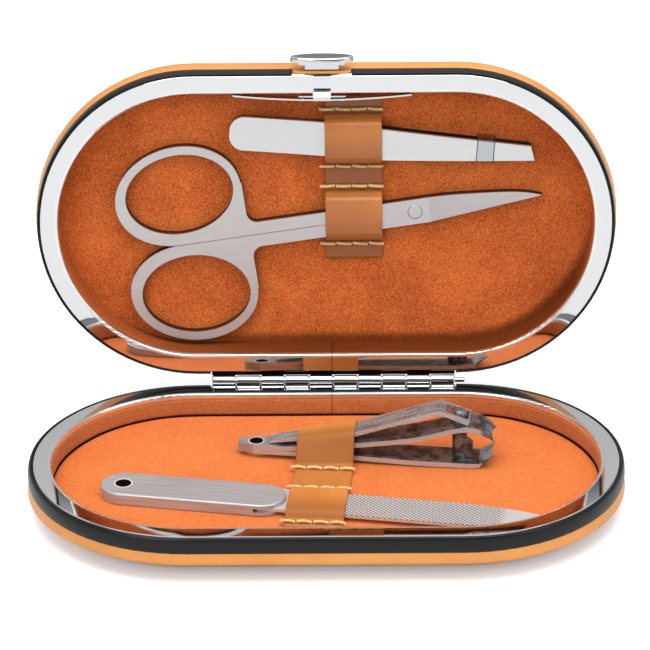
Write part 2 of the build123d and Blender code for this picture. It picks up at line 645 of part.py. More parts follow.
def scissors_screw():
    base = Align.CENTER, Align.CENTER, Align.MIN
    shank = Cylinder(SCREW_R, SCISSORS_THICK, align=base)
    head_base = SCISSORS_THICK - SCREW_HEAD_DEPTH + SPLIT_GAP / 4
    head = Pos(0, 0, head_base) * Cylinder(SCREW_HEAD_R, SCREW_HEAD_DEPTH, align=base)
    head = chamfer(head.edges().sort_by(Axis.Z)[-1], 0.12)
    return shank + head


# ================================================================ tweezers
def tweezers_plan():
    half = ARM_WIDTH / 2
    tip = TIP_WIDTH / 2
    outline = Polyline(
        (0, -half), (0.5 * TWEEZERS_LENGTH, -half), (TWEEZERS_LENGTH + TIP_SLANT, -tip),
        (TWEEZERS_LENGTH - TIP_SLANT, tip), (UPPER_TAPER_START * TWEEZERS_LENGTH, half),
        (0, half), (0, -half))
    plan = make_face(outline)
    ends = plan.vertices().sort_by(Axis.X)[:2]
    return fillet(ends, half * 0.85)


def arm_curve(lift):
    """One face of the free length of an arm, from the weld to the tip."""
    belly = (ARM_BELLY * TWEEZERS_LENGTH, ARM_BOW + lift)
    tip = (TWEEZERS_LENGTH + 1, TIP_GAP / 2 + lift)
    return Spline((WELD_LENGTH, WELD_GAP + lift), belly, tip, tangents=[(1, 0), (1, -0.03)])


def tweezers_arm(side):
    """A springy strip that lies on its mate for the weld's length and bows away beyond it."""
    inner = arm_curve(0)
    outer = arm_curve(ARM_GAUGE)
    root = Polyline(outer @ 0, (-1, ARM_GAUGE + WELD_GAP), (-1, WELD_GAP), inner @ 0)
    section = make_face([inner, Line(inner @ 1, outer @ 1), outer, root])
    arm = across(section, 2 * ARM_WIDTH) & extrude(tweezers_plan(), amount=5)
    return arm if side > 0 else mirror(arm, about=Plane.XY)


def tweezers_sleeve():
    """A clear band that holds both tips together."""
    start = TWEEZERS_LENGTH - SLEEVE_FROM_TIP
    length = Pos(start + SLEEVE_LENGTH / 2, 0, 0) * Box(
        SLEEVE_LENGTH, 2 * ARM_WIDTH, 2 * ARM_WIDTH)
    held = (tweezers_arm(1) & length).bounding_box()
    half = max(held.max.Y, -held.min.Y) + SLEEVE_GAP + SLEEVE_WALL
    height = held.max.Z + SLEEVE_GAP + SLEEVE_WALL
    outer = Rectangle(2 * half, 2 * height)
    outer = fillet(outer.vertices(), SLEEVE_ROUND)
    hole = offset(outer, -SLEEVE_WALL)
    section = Plane((start, 0, 0), x_dir=(0, 1, 0), z_dir=(1, 0, 0))
    return extrude(section * (outer - hole), amount=SLEEVE_LENGTH)


# ================================================================ nail clipper
def clipper_plan():
    """The jaws from above: a round tail that widens to the head, with a hollow cutting edge."""
    tail = TAIL_WIDTH / 2
    head = HEAD_WIDTH / 2
    sides = [(TAIL_END + tail, tail), (TAIL_HOLE, TAIL_HOLE_R + TAIL_WALL), (0.7 * CLIPPER_LENGTH, head), (0.92 * CLIPPER_LENGTH, head),
             (CLIPPER_LENGTH + 1, head * 0.84)]
    right = [(u, -v) for u, v in reversed(sides)]
    outline = make_face(Polyline(*sides, *right, sides[0]))
    hollow = Pos(CLIPPER_LENGTH + LIP_HOLLOW_R - LIP_HOLLOW, 0) * Circle(LIP_HOLLOW_R)
    hole = Pos(TAIL_HOLE, 0) * Circle(TAIL_HOLE_R)
    return outline + Pos(TAIL_END + tail, 0) * Circle(tail) - hollow - hole


def across(section, width):
    """Extrudes a long section both ways across the tool."""
    return extrude(Plane.XZ * section, amount=width / 2, both=True)


def lower_jaw():
    base = Spline((-0.5, TAIL_LIFT), (0.45 * CLIPPER_LENGTH, TAIL_LIFT * 0.8), (LIP_START - 1, 0),
                  tangents=[(1, 0), (1, 0)])
    top = Spline((LIP_START, JAW_GAUGE), (0.45 * CLIPPER_LENGTH, TAIL_LIFT * 0.8 + JAW_GAUGE),
                 (-0.5, TAIL_LIFT + JAW_GAUGE), tangents=[(-1, 0), (-1, 0)])
    lip = Polyline(base @ 1, (LIP_START, 0.1), (CLIPPER_LENGTH + 0.2, LOWER_LIP_TOP), top @ 0)
    section = make_face([base, lip, top, Line(top @ 1, base @ 0)])
    jaw = across(section, 2 * HEAD_WIDTH) & extrude(clipper_plan(), amount=POST_TOP)
    hole = Pos(POST_U, 0, 0) * Cylinder(POST_R + POST_GAP, POST_TOP)
    foot = Pos(POST_U, 0, 0) * Cylinder(POST_FOOT_R + POST_GAP, 2 * (POST_FOOT + POST_GAP))
    return jaw - hole - foot


def upper_jaw():
    """Lies on the lower jaw at the tail, rises to the head and turns down to its lip."""
    join = TAIL_LIFT + JAW_GAUGE + 0.02
    lip_edge = (CLIPPER_LENGTH, UPPER_LIP_BOTTOM)
    head = (CLIPPER_LENGTH - JAW_HEAD[0], JAW_HEAD[1])
    rise = [(JAWS_JOINED, join), JAW_MID, (CLIPPER_LENGTH - JAW_RISE[0], JAW_RISE[1]), head]
    slopes = [(1, JAW_PARTING), (1, 0.1)]
    under = Spline(*rise, tangents=slopes)
    over = Spline(*[(u, h + JAW_GAUGE) for u, h in rise], tangents=slopes)
    inner_lip = Spline(under @ 1, (LIP_START, head[1] - 0.45), lip_edge,
                       tangents=[(1, 0.1), (1, -1.1)])
    outer_lip = Spline(over @ 1, (LIP_START + 0.7, head[1] + 0.5), lip_edge,
                       tangents=[(1, 0.1), (0.6, -1.1)])
    tail = Polyline(over @ 0, (-0.5, join + JAW_GAUGE), (-0.5, join), under @ 0)
    section = make_face([under, inner_lip, outer_lip, over, tail])
    jaw = across(section, 2 * HEAD_WIDTH) & extrude(clipper_plan(), amount=POST_TOP)
    slot = SlotCenterToCenter(2 * BITE_DRIFT, 2 * (POST_R + POST_GAP))
    back, length, width = JAW_WINDOW
    window = Pos(CLIPPER_LENGTH - back, 0, 0) * extrude(SlotOverall(length, width), amount=POST_TOP)
    return jaw - Pos(POST_U, 0, 0) * extrude(slot, amount=POST_TOP) - window


def lever_underside(u):
    """Height of the lever's underside above the clipper's base at a distance along it."""
    (u0, h0), (u1, h1), (u2, h2) = (LEVER_START, LEVER_LIFT), LEVER_MID, CREST
    if u < u1:
        return h0 + (h1 - h0) * (u - u0) / (u1 - u0)
    return h1 + (h2 - h1) * (u - u1) / (u2 - u1)


def lever_half(u):
    share = min(1, (u - LEVER_START) / (LEVER_MID[0] - LEVER_START))
    return (LEVER_TAIL_WIDTH + share * (LEVER_WIDTH - LEVER_TAIL_WIDTH)) / 2


def clipper_lever():
    """Folded back over the jaws: it rises to a crease and drops to a forked nose on the post."""
    start = (LEVER_START, LEVER_LIFT)
    points = [start, LEVER_MID, CREST, NOSE]
    top = [(u, h + LEVER_GAUGE) for u, h in reversed(points)]
    top[0] = (NOSE[0] + 0.45, top[0][1])
    top[-1] = (LEVER_START, LEVER_LIFT + LEVER_TIP_GAUGE)
    section = make_face(Polyline(*points, *top, start))
    body = across(section, LEVER_WIDTH)
    half = LEVER_WIDTH / 2
    tail = LEVER_TAIL_WIDTH / 2
    plan = make_face(Polyline(
        (LEVER_START, -tail), (LEVER_MID[0], -half), (NOSE[0] + 1, -half),
        (NOSE[0] + 1, half), (LEVER_MID[0], half), (LEVER_START, tail),
        (LEVER_START, -tail)))
    body &= extrude(plan, amount=2 * POST_TOP)
    crest_lines = body.edges().filter_by(Axis.Y).sort_by(Axis.Z)[-1:]
    body = fillet(crest_lines, 0.5)
    slot_end = POST_R + 4 * POST_GAP
    body -= Pos(POST_U + (slot_end - LEVER_SLOT_BACK) / 2, 0, POST_TOP) * Box(
        slot_end + LEVER_SLOT_BACK, LEVER_SLOT_WIDTH, POST_TOP)
    pin_bore = Pos(POST_U, 0, CROSS_PIN_UP) * Rot(90, 0, 0) * Cylinder(
        CROSS_PIN_R + PIN_CLEARANCE, 2 * LEVER_WIDTH)
    return body - pin_bore


def clipper_post():
    """A round stud with a flat footing plate on the jaw, and its head over the lower jaw's hole."""
    base = Align.CENTER, Align.CENTER, Align.MIN
    stem = Pos(0, 0, FOOT_GAP) * Cylinder(POST_R, POST_TOP - FOOT_GAP, align=base)
    stem = fillet(stem.edges().sort_by(Axis.Z)[-1], 0.9)
    foot = Pos(0, 0, FOOT_GAP) * Cylinder(POST_FOOT_R, POST_FOOT, align=base)
    low = JAW_GAUGE + CHEEK_LIFT
    cheek = make_face(Polyline(
        (0, low), (CHEEK_REACH, low), (CHEEK_REACH, CHEEK_BEND), (POST_R * 0.6, CHEEK_TOP),
        (0, CHEEK_TOP), (0, low)))
    bore = Pos(0, 0, CROSS_PIN_UP) * Rot(90, 0, 0) * Cylinder(
        CROSS_PIN_R + PIN_CLEARANCE, 4 * POST_R)
    return Pos(POST_U, 0, 0) * (stem + foot + across(cheek, CHEEK_WIDTH) - bore)


def cross_pin():
    return Pos(POST_U, 0, CROSS_PIN_UP) * Rot(90, 0, 0) * Cylinder(CROSS_PIN_R, LEVER_WIDTH - 0.1)


# ================================================================ nail file
def file_handle():
    """A round-ended plate with a hanging hole, slit at its front end to grip the blade."""
    length = HANDLE_FRONT - HANDLE_BACK
    middle = (HANDLE_FRONT + HANDLE_BACK) / 2
    plate = Pos(middle, 0) * extrude(SlotOverall(length, HANDLE_WIDTH), amount=HANDLE_THICK)
    plate = fillet(plate.faces().sort_by(Axis.Z)[-1].edges(), 0.4)
    hole_at = Pos(HANDLE_BACK + HANDLE_HOLE_IN, 0, 0)
    hole = hole_at * Cylinder(HANDLE_HOLE_R, 3 * HANDLE_THICK)
    hole += hole_at * Pos(0, 0, HANDLE_THICK) * Cone(
        HANDLE_HOLE_R - HOLE_CHAMFER, HANDLE_HOLE_R + HOLE_CHAMFER, 2 * HOLE_CHAMFER)
    slit_height = BLADE_GAUGE + 0.06
    slit_length = HANDLE_FRONT - BLADE_SLOT + 1
    slit_mid = BLADE_UP + BLADE_GAUGE / 2
    slit = Pos(BLADE_SLOT + slit_length / 2, 0, slit_mid) * Box(
        slit_length, 2 * HANDLE_WIDTH, slit_height)
    relief = Pos(BLADE_SLOT, 0, slit_mid) * Rot(90, 0, 0) * Cylinder(
        slit_height * 0.65, 2 * HANDLE_WIDTH)
    return plate - hole - slit - relief


def file_blade():
    """A flat blade pressed into the handle's slit, with a leaf-shaped tip."""
    half = FILE_WIDTH / 2
    start = BLADE_SLOT + 0.3
    tip = (FILE_TIP, FILE_TIP_ACROSS)
    near = ThreePointArc((FILE_TIP - FILE_NOSE, -half),
                         (FILE_TIP - 0.36 * FILE_NOSE, -0.42 * half), tip)
    far = ThreePointArc(tip, (FILE_TIP - 0.35 * FILE_TAPER, 0.86 * half),
                        (FILE_TIP - FILE_TAPER, half))
    root = Polyline(far @ 1, (start, half), (start, -half), near @ 0)
    blade = extrude(make_face([near, far, root]), amount=BLADE_GAUGE)
    return Pos(0, FILE_OFFSET, BLADE_UP) * blade


# ================================================================ putting it together
def half_case(floor, corner, seam_side):
    """The six shells and linings of one tray, with its hinge on the seam's side."""
    return {
        "leather_cover": leather_cover(corner),
        "shell": tray_shell(corner),
        "rim_frame": rim_channel(seam_side),
        "edge_trim": edge_trim() - hinge_notch(seam_side),
        "lining_wall": lining_wall(floor, seam_side),
        "floor_pad": floor_pad(floor, corner),
    }


lower = half_case(LOWER_FLOOR, LOWER_CORNER, 1)
lid = half_case(LID_FLOOR, LID_CORNER, -1)

catch_window_width = CATCH_WIDTH + 4 * CLASP_GAP
catch_window = Pos(CLASP_X, -(HALF_WIDTH - LINING_INSET + LINING_WALL / 2), -FRAME_LIP) * Box(
    catch_window_width, 3 * LINING_WALL, 2 * (CATCH_REACH + CLASP_GAP - FRAME_LIP))
lower["lining_wall"] -= catch_window
lid["edge_trim"] -= trim_notch()
lid["leather_cover"] += cover_tab()
for name in ("shell", "rim_frame", "lining_wall"):
    lid[name] -= pusher_slot()

lower_strap_at = Pos(*LOWER_STRAP_PLACE, -LOWER_FLOOR) * Rot(0, 0, LOWER_STRAP_TURN)
lid_strap_at = Pos(LID_STRAP_X, 0, -LID_FLOOR)
clipper_at = Pos(*CLIPPER_PLACE, REST_GAP - LOWER_FLOOR) * Rot(0, 0, CLIPPER_TURN)
file_at = Pos(*FILE_PLACE, REST_GAP - LOWER_FLOOR) * Rot(0, 0, FILE_TURN)
scissors_at = Pos(SCISSORS_X, SCISSORS_Y, REST_GAP - LID_FLOOR) * Rot(0, 0, SCISSORS_TURN)
tweezers = {
    "tweezers_front_arm": tweezers_arm(1),
    "tweezers_back_arm": tweezers_arm(-1),
    "tweezers_sleeve": tweezers_sleeve(),
}
tweezers_half = max(shape.bounding_box().max.Z for shape in tweezers.values())
tweezers_at = Pos(*TWEEZERS_PLACE, REST_GAP - LID_FLOOR + tweezers_half) * Rot(
    0, 0, TWEEZERS_TURN)

lower_parts = {f"lower_{name}": shape for name, shape in lower.items()}
lower_parts |= {
    "lower_hinge_leaf": hinge_leaf(1, 1),
    "hinge_pin": hinge_pin(),
    "lower_strap": lower_strap_at * strap(
        lower_strap_humps(-1), lower_strap_humps(1), LOWER_STRAP_ENDS),
    "lower_strap_stitches": lower_strap_at * stitches(LOWER_STITCH_ROWS),
    "clipper_lower_jaw": clipper_at * lower_jaw(),
    "clipper_upper_jaw": clipper_at * upper_jaw(),
    "clipper_lever": clipper_at * clipper_lever(),
    "clipper_post": clipper_at * clipper_post(),
    "clipper_cross_pin": clipper_at * cross_pin(),
    "file_handle": file_at * file_handle(),
    "file_blade": file_at * file_blade(),
}

lid_humps = lid_strap_humps(2 * tweezers_half)
lid_ends = LID_STRAP_ENDS[0], SCISSORS_Y + LID_STRAP_ENDS[1]
lid_parts = {f"lid_{name}": shape for name, shape in lid.items()}
lid_parts |= {
    "lid_hinge_leaf": hinge_leaf(0, -1),
    "lid_strap": lid_strap_at * strap(lid_humps, lid_humps, lid_ends),
    "lid_strap_stitches": lid_strap_at * stitches(LID_STITCH_ROWS),
    "clasp_button": clasp_button(),
    "clasp_catch": clasp_catch(),
    "clasp_spring": clasp_spring(),
    "clasp_rivets": clasp_rivets(),
    "scissors_upper_half": scissors_at * scissors_half(True),
    "scissors_lower_half": scissors_at * scissors_half(False),
    "scissors_screw": scissors_at * scissors_screw(),
} | {name: tweezers_at * shape for name, shape in tweezers.items()}

for name, shape in lower_parts.items():
    export_step(LOWER * shape, f"parts/{name}.step")
for name, shape in lid_parts.items():
    export_step(LID * shape, f"parts/{name}.step")
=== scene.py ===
"""Dresses the manicure set case: linings, leather, chrome, steel and thread, in a white studio."""
from math import cos, exp, pi, radians, sin, tan

import bmesh
import bpy
from mathutils import Matrix, Vector, noise


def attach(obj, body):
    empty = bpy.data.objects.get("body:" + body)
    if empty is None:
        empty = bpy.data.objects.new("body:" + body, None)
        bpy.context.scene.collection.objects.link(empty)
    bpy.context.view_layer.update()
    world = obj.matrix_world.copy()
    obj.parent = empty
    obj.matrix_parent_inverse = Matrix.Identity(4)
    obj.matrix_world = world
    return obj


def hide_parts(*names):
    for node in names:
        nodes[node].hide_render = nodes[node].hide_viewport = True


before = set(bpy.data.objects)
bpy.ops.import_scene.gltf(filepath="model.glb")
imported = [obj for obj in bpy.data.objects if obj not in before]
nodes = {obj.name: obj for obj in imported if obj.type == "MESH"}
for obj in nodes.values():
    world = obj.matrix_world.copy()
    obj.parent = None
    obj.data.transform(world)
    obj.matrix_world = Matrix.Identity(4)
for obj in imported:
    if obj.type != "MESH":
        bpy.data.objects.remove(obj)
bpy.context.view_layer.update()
MM = 0.001

# ---------------------------------------------------------------- places, in millimetres
RIM_Z = 10.55
HINGE_Y = 34.85
LID_TILT = 83.8
HALF_WIDTH = 33.0
END_X = 27.5
TRAY_DEPTH = 10.5
FLOORS = {"lower": 5.05, "lid": 7.9}
BODIES = {"lower": "lower_tray", "lid": "lid"}
FLANGE_WIDTH = 3.33
WALL_FACE = HALF_WIDTH - 4.26
WALL_GAUGE = 0.5
LIP_BOTTOM = 1.1

# A strap's frame, its ends and its rows of stitches. A hump has its feet, and then its back,
# front and height at the strap's left edge and at its right.
STRAPS = {
    "lower": {
        "place": (-0.75, 0.0), "turn": -4.5, "ends": (19.8, -21.0),
        "rows": (18.1, 3.4, -5.15, -19.6), "first_stitch": -5.4,
        "humps": (((16.9, 4.6), (12.9, 8.3, 4.72), (13.7, 7.5, 6.9)),
                  ((-6.3, -18.4), (-7.6, -17.1, 1.68), (-7.6, -17.1, 1.68))),
    },
    "lid": {
        "place": (5.9, 0.0), "turn": 0.0, "ends": (26.3, -9.7),
        "rows": (23.35, 10.8, 6.4, -6.4), "first_stitch": -5.6,
        "humps": (((22.1, 12.05), (21.2, 12.9, 4.16), (21.2, 12.9, 4.16)),
                  ((5.3, -5.2), (3.7, -4.5, 2.62), (3.7, -4.5, 2.62))),
    },
}

# The tray a tool lies in, its place there and its turn in degrees.
TOOLS = {
    "scissors": ("lid", (18.8, 1.1), 8.2),
    "tweezers": ("lid", (-20.1, 19.0), -4.3),
    "clipper": ("lower", (-19.6, 12.2), -5.2),
    "file": ("lower", (-29.0, -8.0), -10.3),
}

TO_LOWER = Matrix.Translation((0, 0, RIM_Z))
TO_LID = (Matrix.Translation((0, HINGE_Y, RIM_Z)) @ Matrix.Rotation(radians(LID_TILT), 4, "X")
          @ Matrix.Translation((0, HINGE_Y, 0)))
TRAYS = {"lower": TO_LOWER, "lid": TO_LID}


# ================================================================ node trees
class Value:
    """A node's output socket, with arithmetic."""

    def __init__(self, tree, socket):
        self.tree = tree
        self.socket = socket

    def _math(self, operation, *inputs):
        return self.tree.node("ShaderNodeMath", {"operation": operation},
                              dict(enumerate(inputs)))["Value"]

    def __add__(self, other):
        return self._math("ADD", self, other)

    def __sub__(self, other):
        return self._math("SUBTRACT", self, other)

    def __rsub__(self, other):
        return self._math("SUBTRACT", other, self)

    def __mul__(self, other):
        return self._math("MULTIPLY", self, other)

    def __pow__(self, other):
        return self._math("POWER", self, other)

    def above(self, low, high, least=0, most=1):
        """least up to low, most from high on, and smooth between them."""
        return self.tree.node("ShaderNodeMapRange", {"interpolation_type": "SMOOTHSTEP"}, {
            "Value": self, "From Min": low, "From Max": high, "To Min": least,
            "To Max": most})["Result"]

    def sine(self):
        return self._math("SINE", self)

    def size(self):
        return self._math("ABSOLUTE", self)

    def larger(self, other):
        return self._math("MAXIMUM", self, other)

    def smaller(self, other):
        return self._math("MINIMUM", self, other)

    def over(self, other):
        """1 where it is greater than other, and 0 elsewhere."""
        return self._math("GREATER_THAN", self, other)


class Outputs:
    def __init__(self, tree, node):
        self.tree = tree
        self.made = node

    def __getitem__(self, name):
        return Value(self.tree, self.made.outputs[name])


class Tree:
    """A node tree. Each node is made with its settings and its inputs in one call."""

    def __init__(self, group):
        self.group = group

    def node(self, kind, settings=None, inputs=None):
        made = self.group.nodes.new(kind)
        for name, value in (settings or {}).items():
            setattr(made, name, value)
        for name, value in (inputs or {}).items():
            self.feed(made.inputs[name], value)
        return Outputs(self, made)

    def feed(self, socket, value):
        if isinstance(value, Value):
            self.group.links.new(value.socket, socket)
        else:
            socket.default_value = value

    def vector(self, operation, *inputs, output="Vector"):
        return self.node("ShaderNodeVectorMath", {"operation": operation},
                         dict(enumerate(inputs)))[output]

    def parts(self, vector):
        split = self.node("ShaderNodeSeparateXYZ", None, {0: vector})
        return split["X"], split["Y"], split["Z"]


def distance(a, b):
    return (a * a + b * b) ** 0.5


def from_axis(x, v):
    """How far a place in a tray is from the straight line between its two round ends."""
    return distance((x.size() - END_X * MM).larger(0.0), v)


class Finish(Tree):
    """One material: its shader and the patterns that feed it."""

    def __init__(self, name, slot, **constants):
        self.material = bpy.data.materials.new(name)
        self.material.use_nodes = True
        super().__init__(self.material.node_tree)
        self.group.nodes.clear()
        self.slot = slot
        self.shader = self.node("ShaderNodeBsdfPrincipled")
        self.output = self.node("ShaderNodeOutputMaterial", None,
                                {"Surface": self.shader["BSDF"]})
        self.give(**constants)

    def give(self, **values):
        """Feeds the shader's sockets."""
        for name, value in values.items():
            self.feed(self.shader.made.inputs[name.replace("_", " ")], value)
        return self

    def place(self, turn=(0, 0, 0), scale=(1, 1, 1)):
        """Object coordinates in metres, turned and scaled."""
        turned = self.node("ShaderNodeMapping", {"vector_type": "POINT"}, {
            "Vector": self.node("ShaderNodeTexCoord")["Object"],
            "Rotation": tuple(radians(a) for a in turn)})["Vector"]
        return self.vector("MULTIPLY", turned, scale)

    def tool_axes(self, tray, place, turn):
        """Along a tool, across it, and its height over the floor pad, in metres."""
        x, y, z = self.parts(self.place())
        v, height = y, z - (RIM_Z - FLOORS["lower"]) * MM
        if tray == "lid":
            up, back, tilt = z - RIM_Z * MM, y - HINGE_Y * MM, radians(LID_TILT)
            v = back * cos(tilt) + up * sin(tilt) - HINGE_Y * MM
            height = up * cos(tilt) - back * sin(tilt) + FLOORS["lid"] * MM
        dx, dv, angle = x - place[0] * MM, v - place[1] * MM, radians(turn)
        return dx * cos(angle) + dv * sin(angle), dv * cos(angle) - dx * sin(angle), height

    def noise(self, where, scale, detail=2.0, roughness=0.5, distortion=0.0):
        return self.node("ShaderNodeTexNoise", None, {
            "Vector": where, "Scale": scale, "Detail": detail, "Roughness": roughness,
            "Distortion": distortion})["Fac"]

    def cells(self, where, scale):
        return self.node("ShaderNodeTexVoronoi", {"feature": "F1"}, {
            "Vector": where, "Scale": scale})["Distance"]

    def mix(self, factor, low, high):
        """From one colour to another."""
        made = self.node("ShaderNodeMix", {"data_type": "RGBA"}).made
        sockets = [s for s in made.inputs if s.type == "RGBA"]
        self.feed(made.inputs[0], factor)
        for socket, colour in zip(sockets, (low, high)):
            self.feed(socket, colour if isinstance(colour, Value) else (*colour, 1))
        return Value(self, [s for s in made.outputs if s.type == "RGBA"][0])

    def bump(self, height, distance, strength=1.0):
        return self.node("ShaderNodeBump", None, {
            "Height": height, "Distance": distance * MM, "Strength": strength})["Normal"]

    def on(self, *names):
        """Puts the finish on CAD nodes."""
        for name in names:
            slots = nodes[name].data.materials
            if slots:
                slots[0] = self.material
            else:
                slots.append(self.material)


def grey(value, blue=0.0):
    """A grey with a little more blue in it than red."""
    return value * (1 - blue), value, value * (1 + blue)


def rgb(red, green, blue):
    """A display colour of 0 to 255 as the shader's linear one."""
    return tuple(((c / 255 + 0.055) / 1.055) ** 2.4 if c > 10 else c / 255 / 12.92
                 for c in (red, green, blue))


# ================================================================ finishes
def suede(name, light, dark, painted_edge_shade=0.0, painted_low_shade=0.0, contrast=1.0, fineness=2500,
          bloom=0.06):
    """Short nap: fine worm-like grain, scattered dark pores and faint brushed clouds. In the lid,
    painted shade makes it darker toward the edge and the hinge."""
    finish = Finish(name, "suede_lining", Roughness=0.95, Sheen_Weight=bloom, Sheen_Roughness=0.5,
                    Specular_IOR_Level=bloom * 2)
    where = finish.place()
    worms = finish.noise(where, fineness, 2.0, 0.55, 1.2)
    clouds = finish.noise(where, 60, 4.0, 0.6, 0.4)
    pores = 1 - finish.noise(where, 3100, 1.5, 0.6, 0.6).above(0.30, 0.40)
    lift = worms.above(0.36, 0.64) * 0.75 + clouds.above(0.36, 0.64) * 0.25
    tone = finish.mix(lift, dark, light)
    deep = tuple(c * 0.33 for c in dark)
    shade = pores * 0.45 * contrast
    # Painted shade: darker near the lid's edge and near the hinge, reaching higher on the right.
    if painted_edge_shade:
        x, y, z = finish.parts(where)
        v = (z - RIM_Z * MM) * (1 / sin(radians(LID_TILT))) - HINGE_Y * MM
        near_hinge = 1 - (z - x * 0.22).above(0.0165, 0.034)
        near_edge = from_axis(x, v).above(0.0268, 0.0289)
        shade = shade.larger(near_edge * near_hinge * painted_edge_shade)
        shade = shade.larger(near_hinge * painted_low_shade)
    spotted = finish.mix(shade, tone, deep)
    return finish.give(Base_Color=spotted, Normal=finish.bump(worms, 0.1, 0.7 * contrast))


def cover_shade(finish):
    """Painted shade: the lower cover is darker toward its underside."""
    x, y, z = finish.parts(finish.place())
    return (1 - z.above(0.0005, 0.0058)) * 0.4


def strap_shade(finish, tray):
    """Painted shade: darker where the strap lies flat, and down the front of each hump."""
    strap = STRAPS[tray]
    across, along, height = finish.tool_axes(tray, strap["place"], strap["turn"])
    shade = (1 - height.above(0.0008, 0.0016)) * (0.75 if tray == "lid" else 0.2)
    soft = 0.2
    for (back_foot, front_foot), (back, front, _), _ in strap["humps"]:
        inside = along.above((front_foot - soft) * MM, (front_foot + soft) * MM)
        behind = along.above((back_foot - soft) * MM, (back_foot + soft) * MM)
        lit = along.above((front - 0.6) * MM, back * MM)
        shade = shade.larger(inside * (1 - behind) * (1 - lit) * 0.6)
    return shade


def calf_leather(name, slot, light, dark, gloss, shading, polish=0.25):
    """Smooth dyed leather with fine pores."""
    finish = Finish(name, slot, Specular_IOR_Level=polish * 1.4 + 0.15, Coat_Weight=polish,
                    Coat_Roughness=0.22)
    where = finish.place()
    pores = finish.cells(where, 2600)
    clouds = finish.noise(where, 60, 4.0, 0.6)
    fine = finish.noise(where, 1500, 3.0, 0.6)
    tone = finish.mix(clouds.above(0.3, 0.7) * 0.6 + fine * 0.4, dark, light)
    # Painted shade: shading blends the tone toward a deep brown.
    tone = finish.mix(shading(finish), tone, (dark[0] * 0.46, dark[1] * 0.38, dark[2] * 0.26))
    height = pores.above(0.05, 0.5) * 0.6 + fine * 0.4
    return finish.give(Base_Color=tone, Roughness=fine * 0.16 + (gloss - 0.08),
                       Normal=finish.bump(height, 0.02, 0.5))


# Colours of the plating, and sizes in millimetres. The rims' plating is a brighter copy of the
# same chrome, as painted light.
CHROME = (0.66, 0.67, 0.68)
FLANGE_CHROME = (0.73, 0.74, 0.75)
KNUCKLE_R = 1.21
ROLLED_EDGE = HALF_WIDTH - 3.5


def plated(name="bright_plating", leaf=False, rim=None):
    """Polished chrome with a faint ripple from pressing. A leaf's plate is dark between its rim
    and its knuckles. A rim's rolled inner edge is softer and carries a painted highlight."""
    finish = Finish(name, "bright_chrome", Metallic=1.0, Base_Color=(*CHROME, 1))
    where = finish.place()
    ripple = finish.noise(where, 45, 0.0, 0.4)
    rough = finish.noise(where, 700, 3.0, 0.6) * 0.03 + 0.02
    if leaf:
        x, y, z = finish.parts(where)
        plate = distance(y - HINGE_Y * MM, z - RIM_Z * MM).above(
            KNUCKLE_R * MM, (KNUCKLE_R + 0.03) * MM)
        finish.give(Base_Color=finish.mix(plate, CHROME, grey(0.012)))
    if rim:
        x, v, height = finish.tool_axes(rim, (0, 0), 0)
        # Painted highlight along the rim's rolled inner edge.
        rolled = 1 - from_axis(x, v).above(ROLLED_EDGE * MM, (ROLLED_EDGE + 0.2) * MM)
        finish.give(Base_Color=finish.mix(rolled, FLANGE_CHROME, grey(0.88)))
        rough = rough + rolled * 0.26
    return finish.give(Roughness=rough, Normal=finish.bump(ripple, 0.1, 0.1))


def satin_steel(name, turn, light, dark, rough, metallic, marks=None, blue=-0.03):
    """Steel brushed along the tool: long fine scratches and a slight haze. marks are the places
    with a tone of their own."""
    finish = Finish(name, "tool_steel", Metallic=metallic, Specular_IOR_Level=0.6)
    along = finish.place(turn=turn)
    scratch = finish.noise(finish.place(turn=turn, scale=(90, 5200, 5200)), 1.0, 2.0, 0.6)
    haze = finish.noise(along, 180, 3.0, 0.6)
    tone = finish.mix(scratch.above(0.25, 0.75) * 0.7 + haze * 0.3, grey(dark, blue),
                      grey(light, blue))
    for factor, shade in marks(finish) if marks else ():
        tone = finish.mix(factor, tone, grey(shade, blue))
    return finish.give(Base_Color=tone, Roughness=scratch * 0.1 + haze * 0.08 + (rough - 0.09),
                       Normal=finish.bump(scratch, 0.002, 0.3))


# Marks are places on a tool and their tones. u runs along the tool and v across it, in metres.
def ring(u, v, middle, radius, width):
    """A painted highlight round a hole's edge, and painted shade on the hole's wall."""
    out = distance(u - middle * MM, v)
    edge = 1 - out.above((radius + width) * MM, (radius + width + 0.04) * MM)
    wall = 1 - out.above((radius + 0.02) * MM, (radius + 0.06) * MM)
    return (edge, 0.95), (wall, 0.006)


def scissors_marks(finish):
    """Painted shade on the sides, and the blade's ground face a little darker than its root."""
    u, v, height = finish.tool_axes(*TOOLS["scissors"])
    blade_root, face_height = 0.0031, 0.00195
    ground = u.above(blade_root, blade_root + 0.0002)
    # Painted shade on the side faces below the top face.
    side = 1 - height.above(face_height, face_height + 0.00015)
    return (ground * 0.2, 0.4), (side, 0.03)


def inner_arm_marks(finish):
    """Painted shade on the inside of the back arm, and a painted highlight on its upper edge."""
    u, v, height = finish.tool_axes(*TOOLS["tweezers"])
    taper_start, widest_half, taper, gauge = 0.02105, 0.00365, 0.0497, 0.00048
    half = widest_half - (u - taper_start).larger(0.0) * taper
    edge = (v - half).above(-0.0003, -0.0002) * (1 - height.above(gauge, gauge + 0.00008))
    return ((1 - edge, 0.012),)


def handle_marks(finish):
    u, v, height = finish.tool_axes(*TOOLS["file"])
    return ring(u, v, middle=-12.6, radius=1.6, width=0.32)


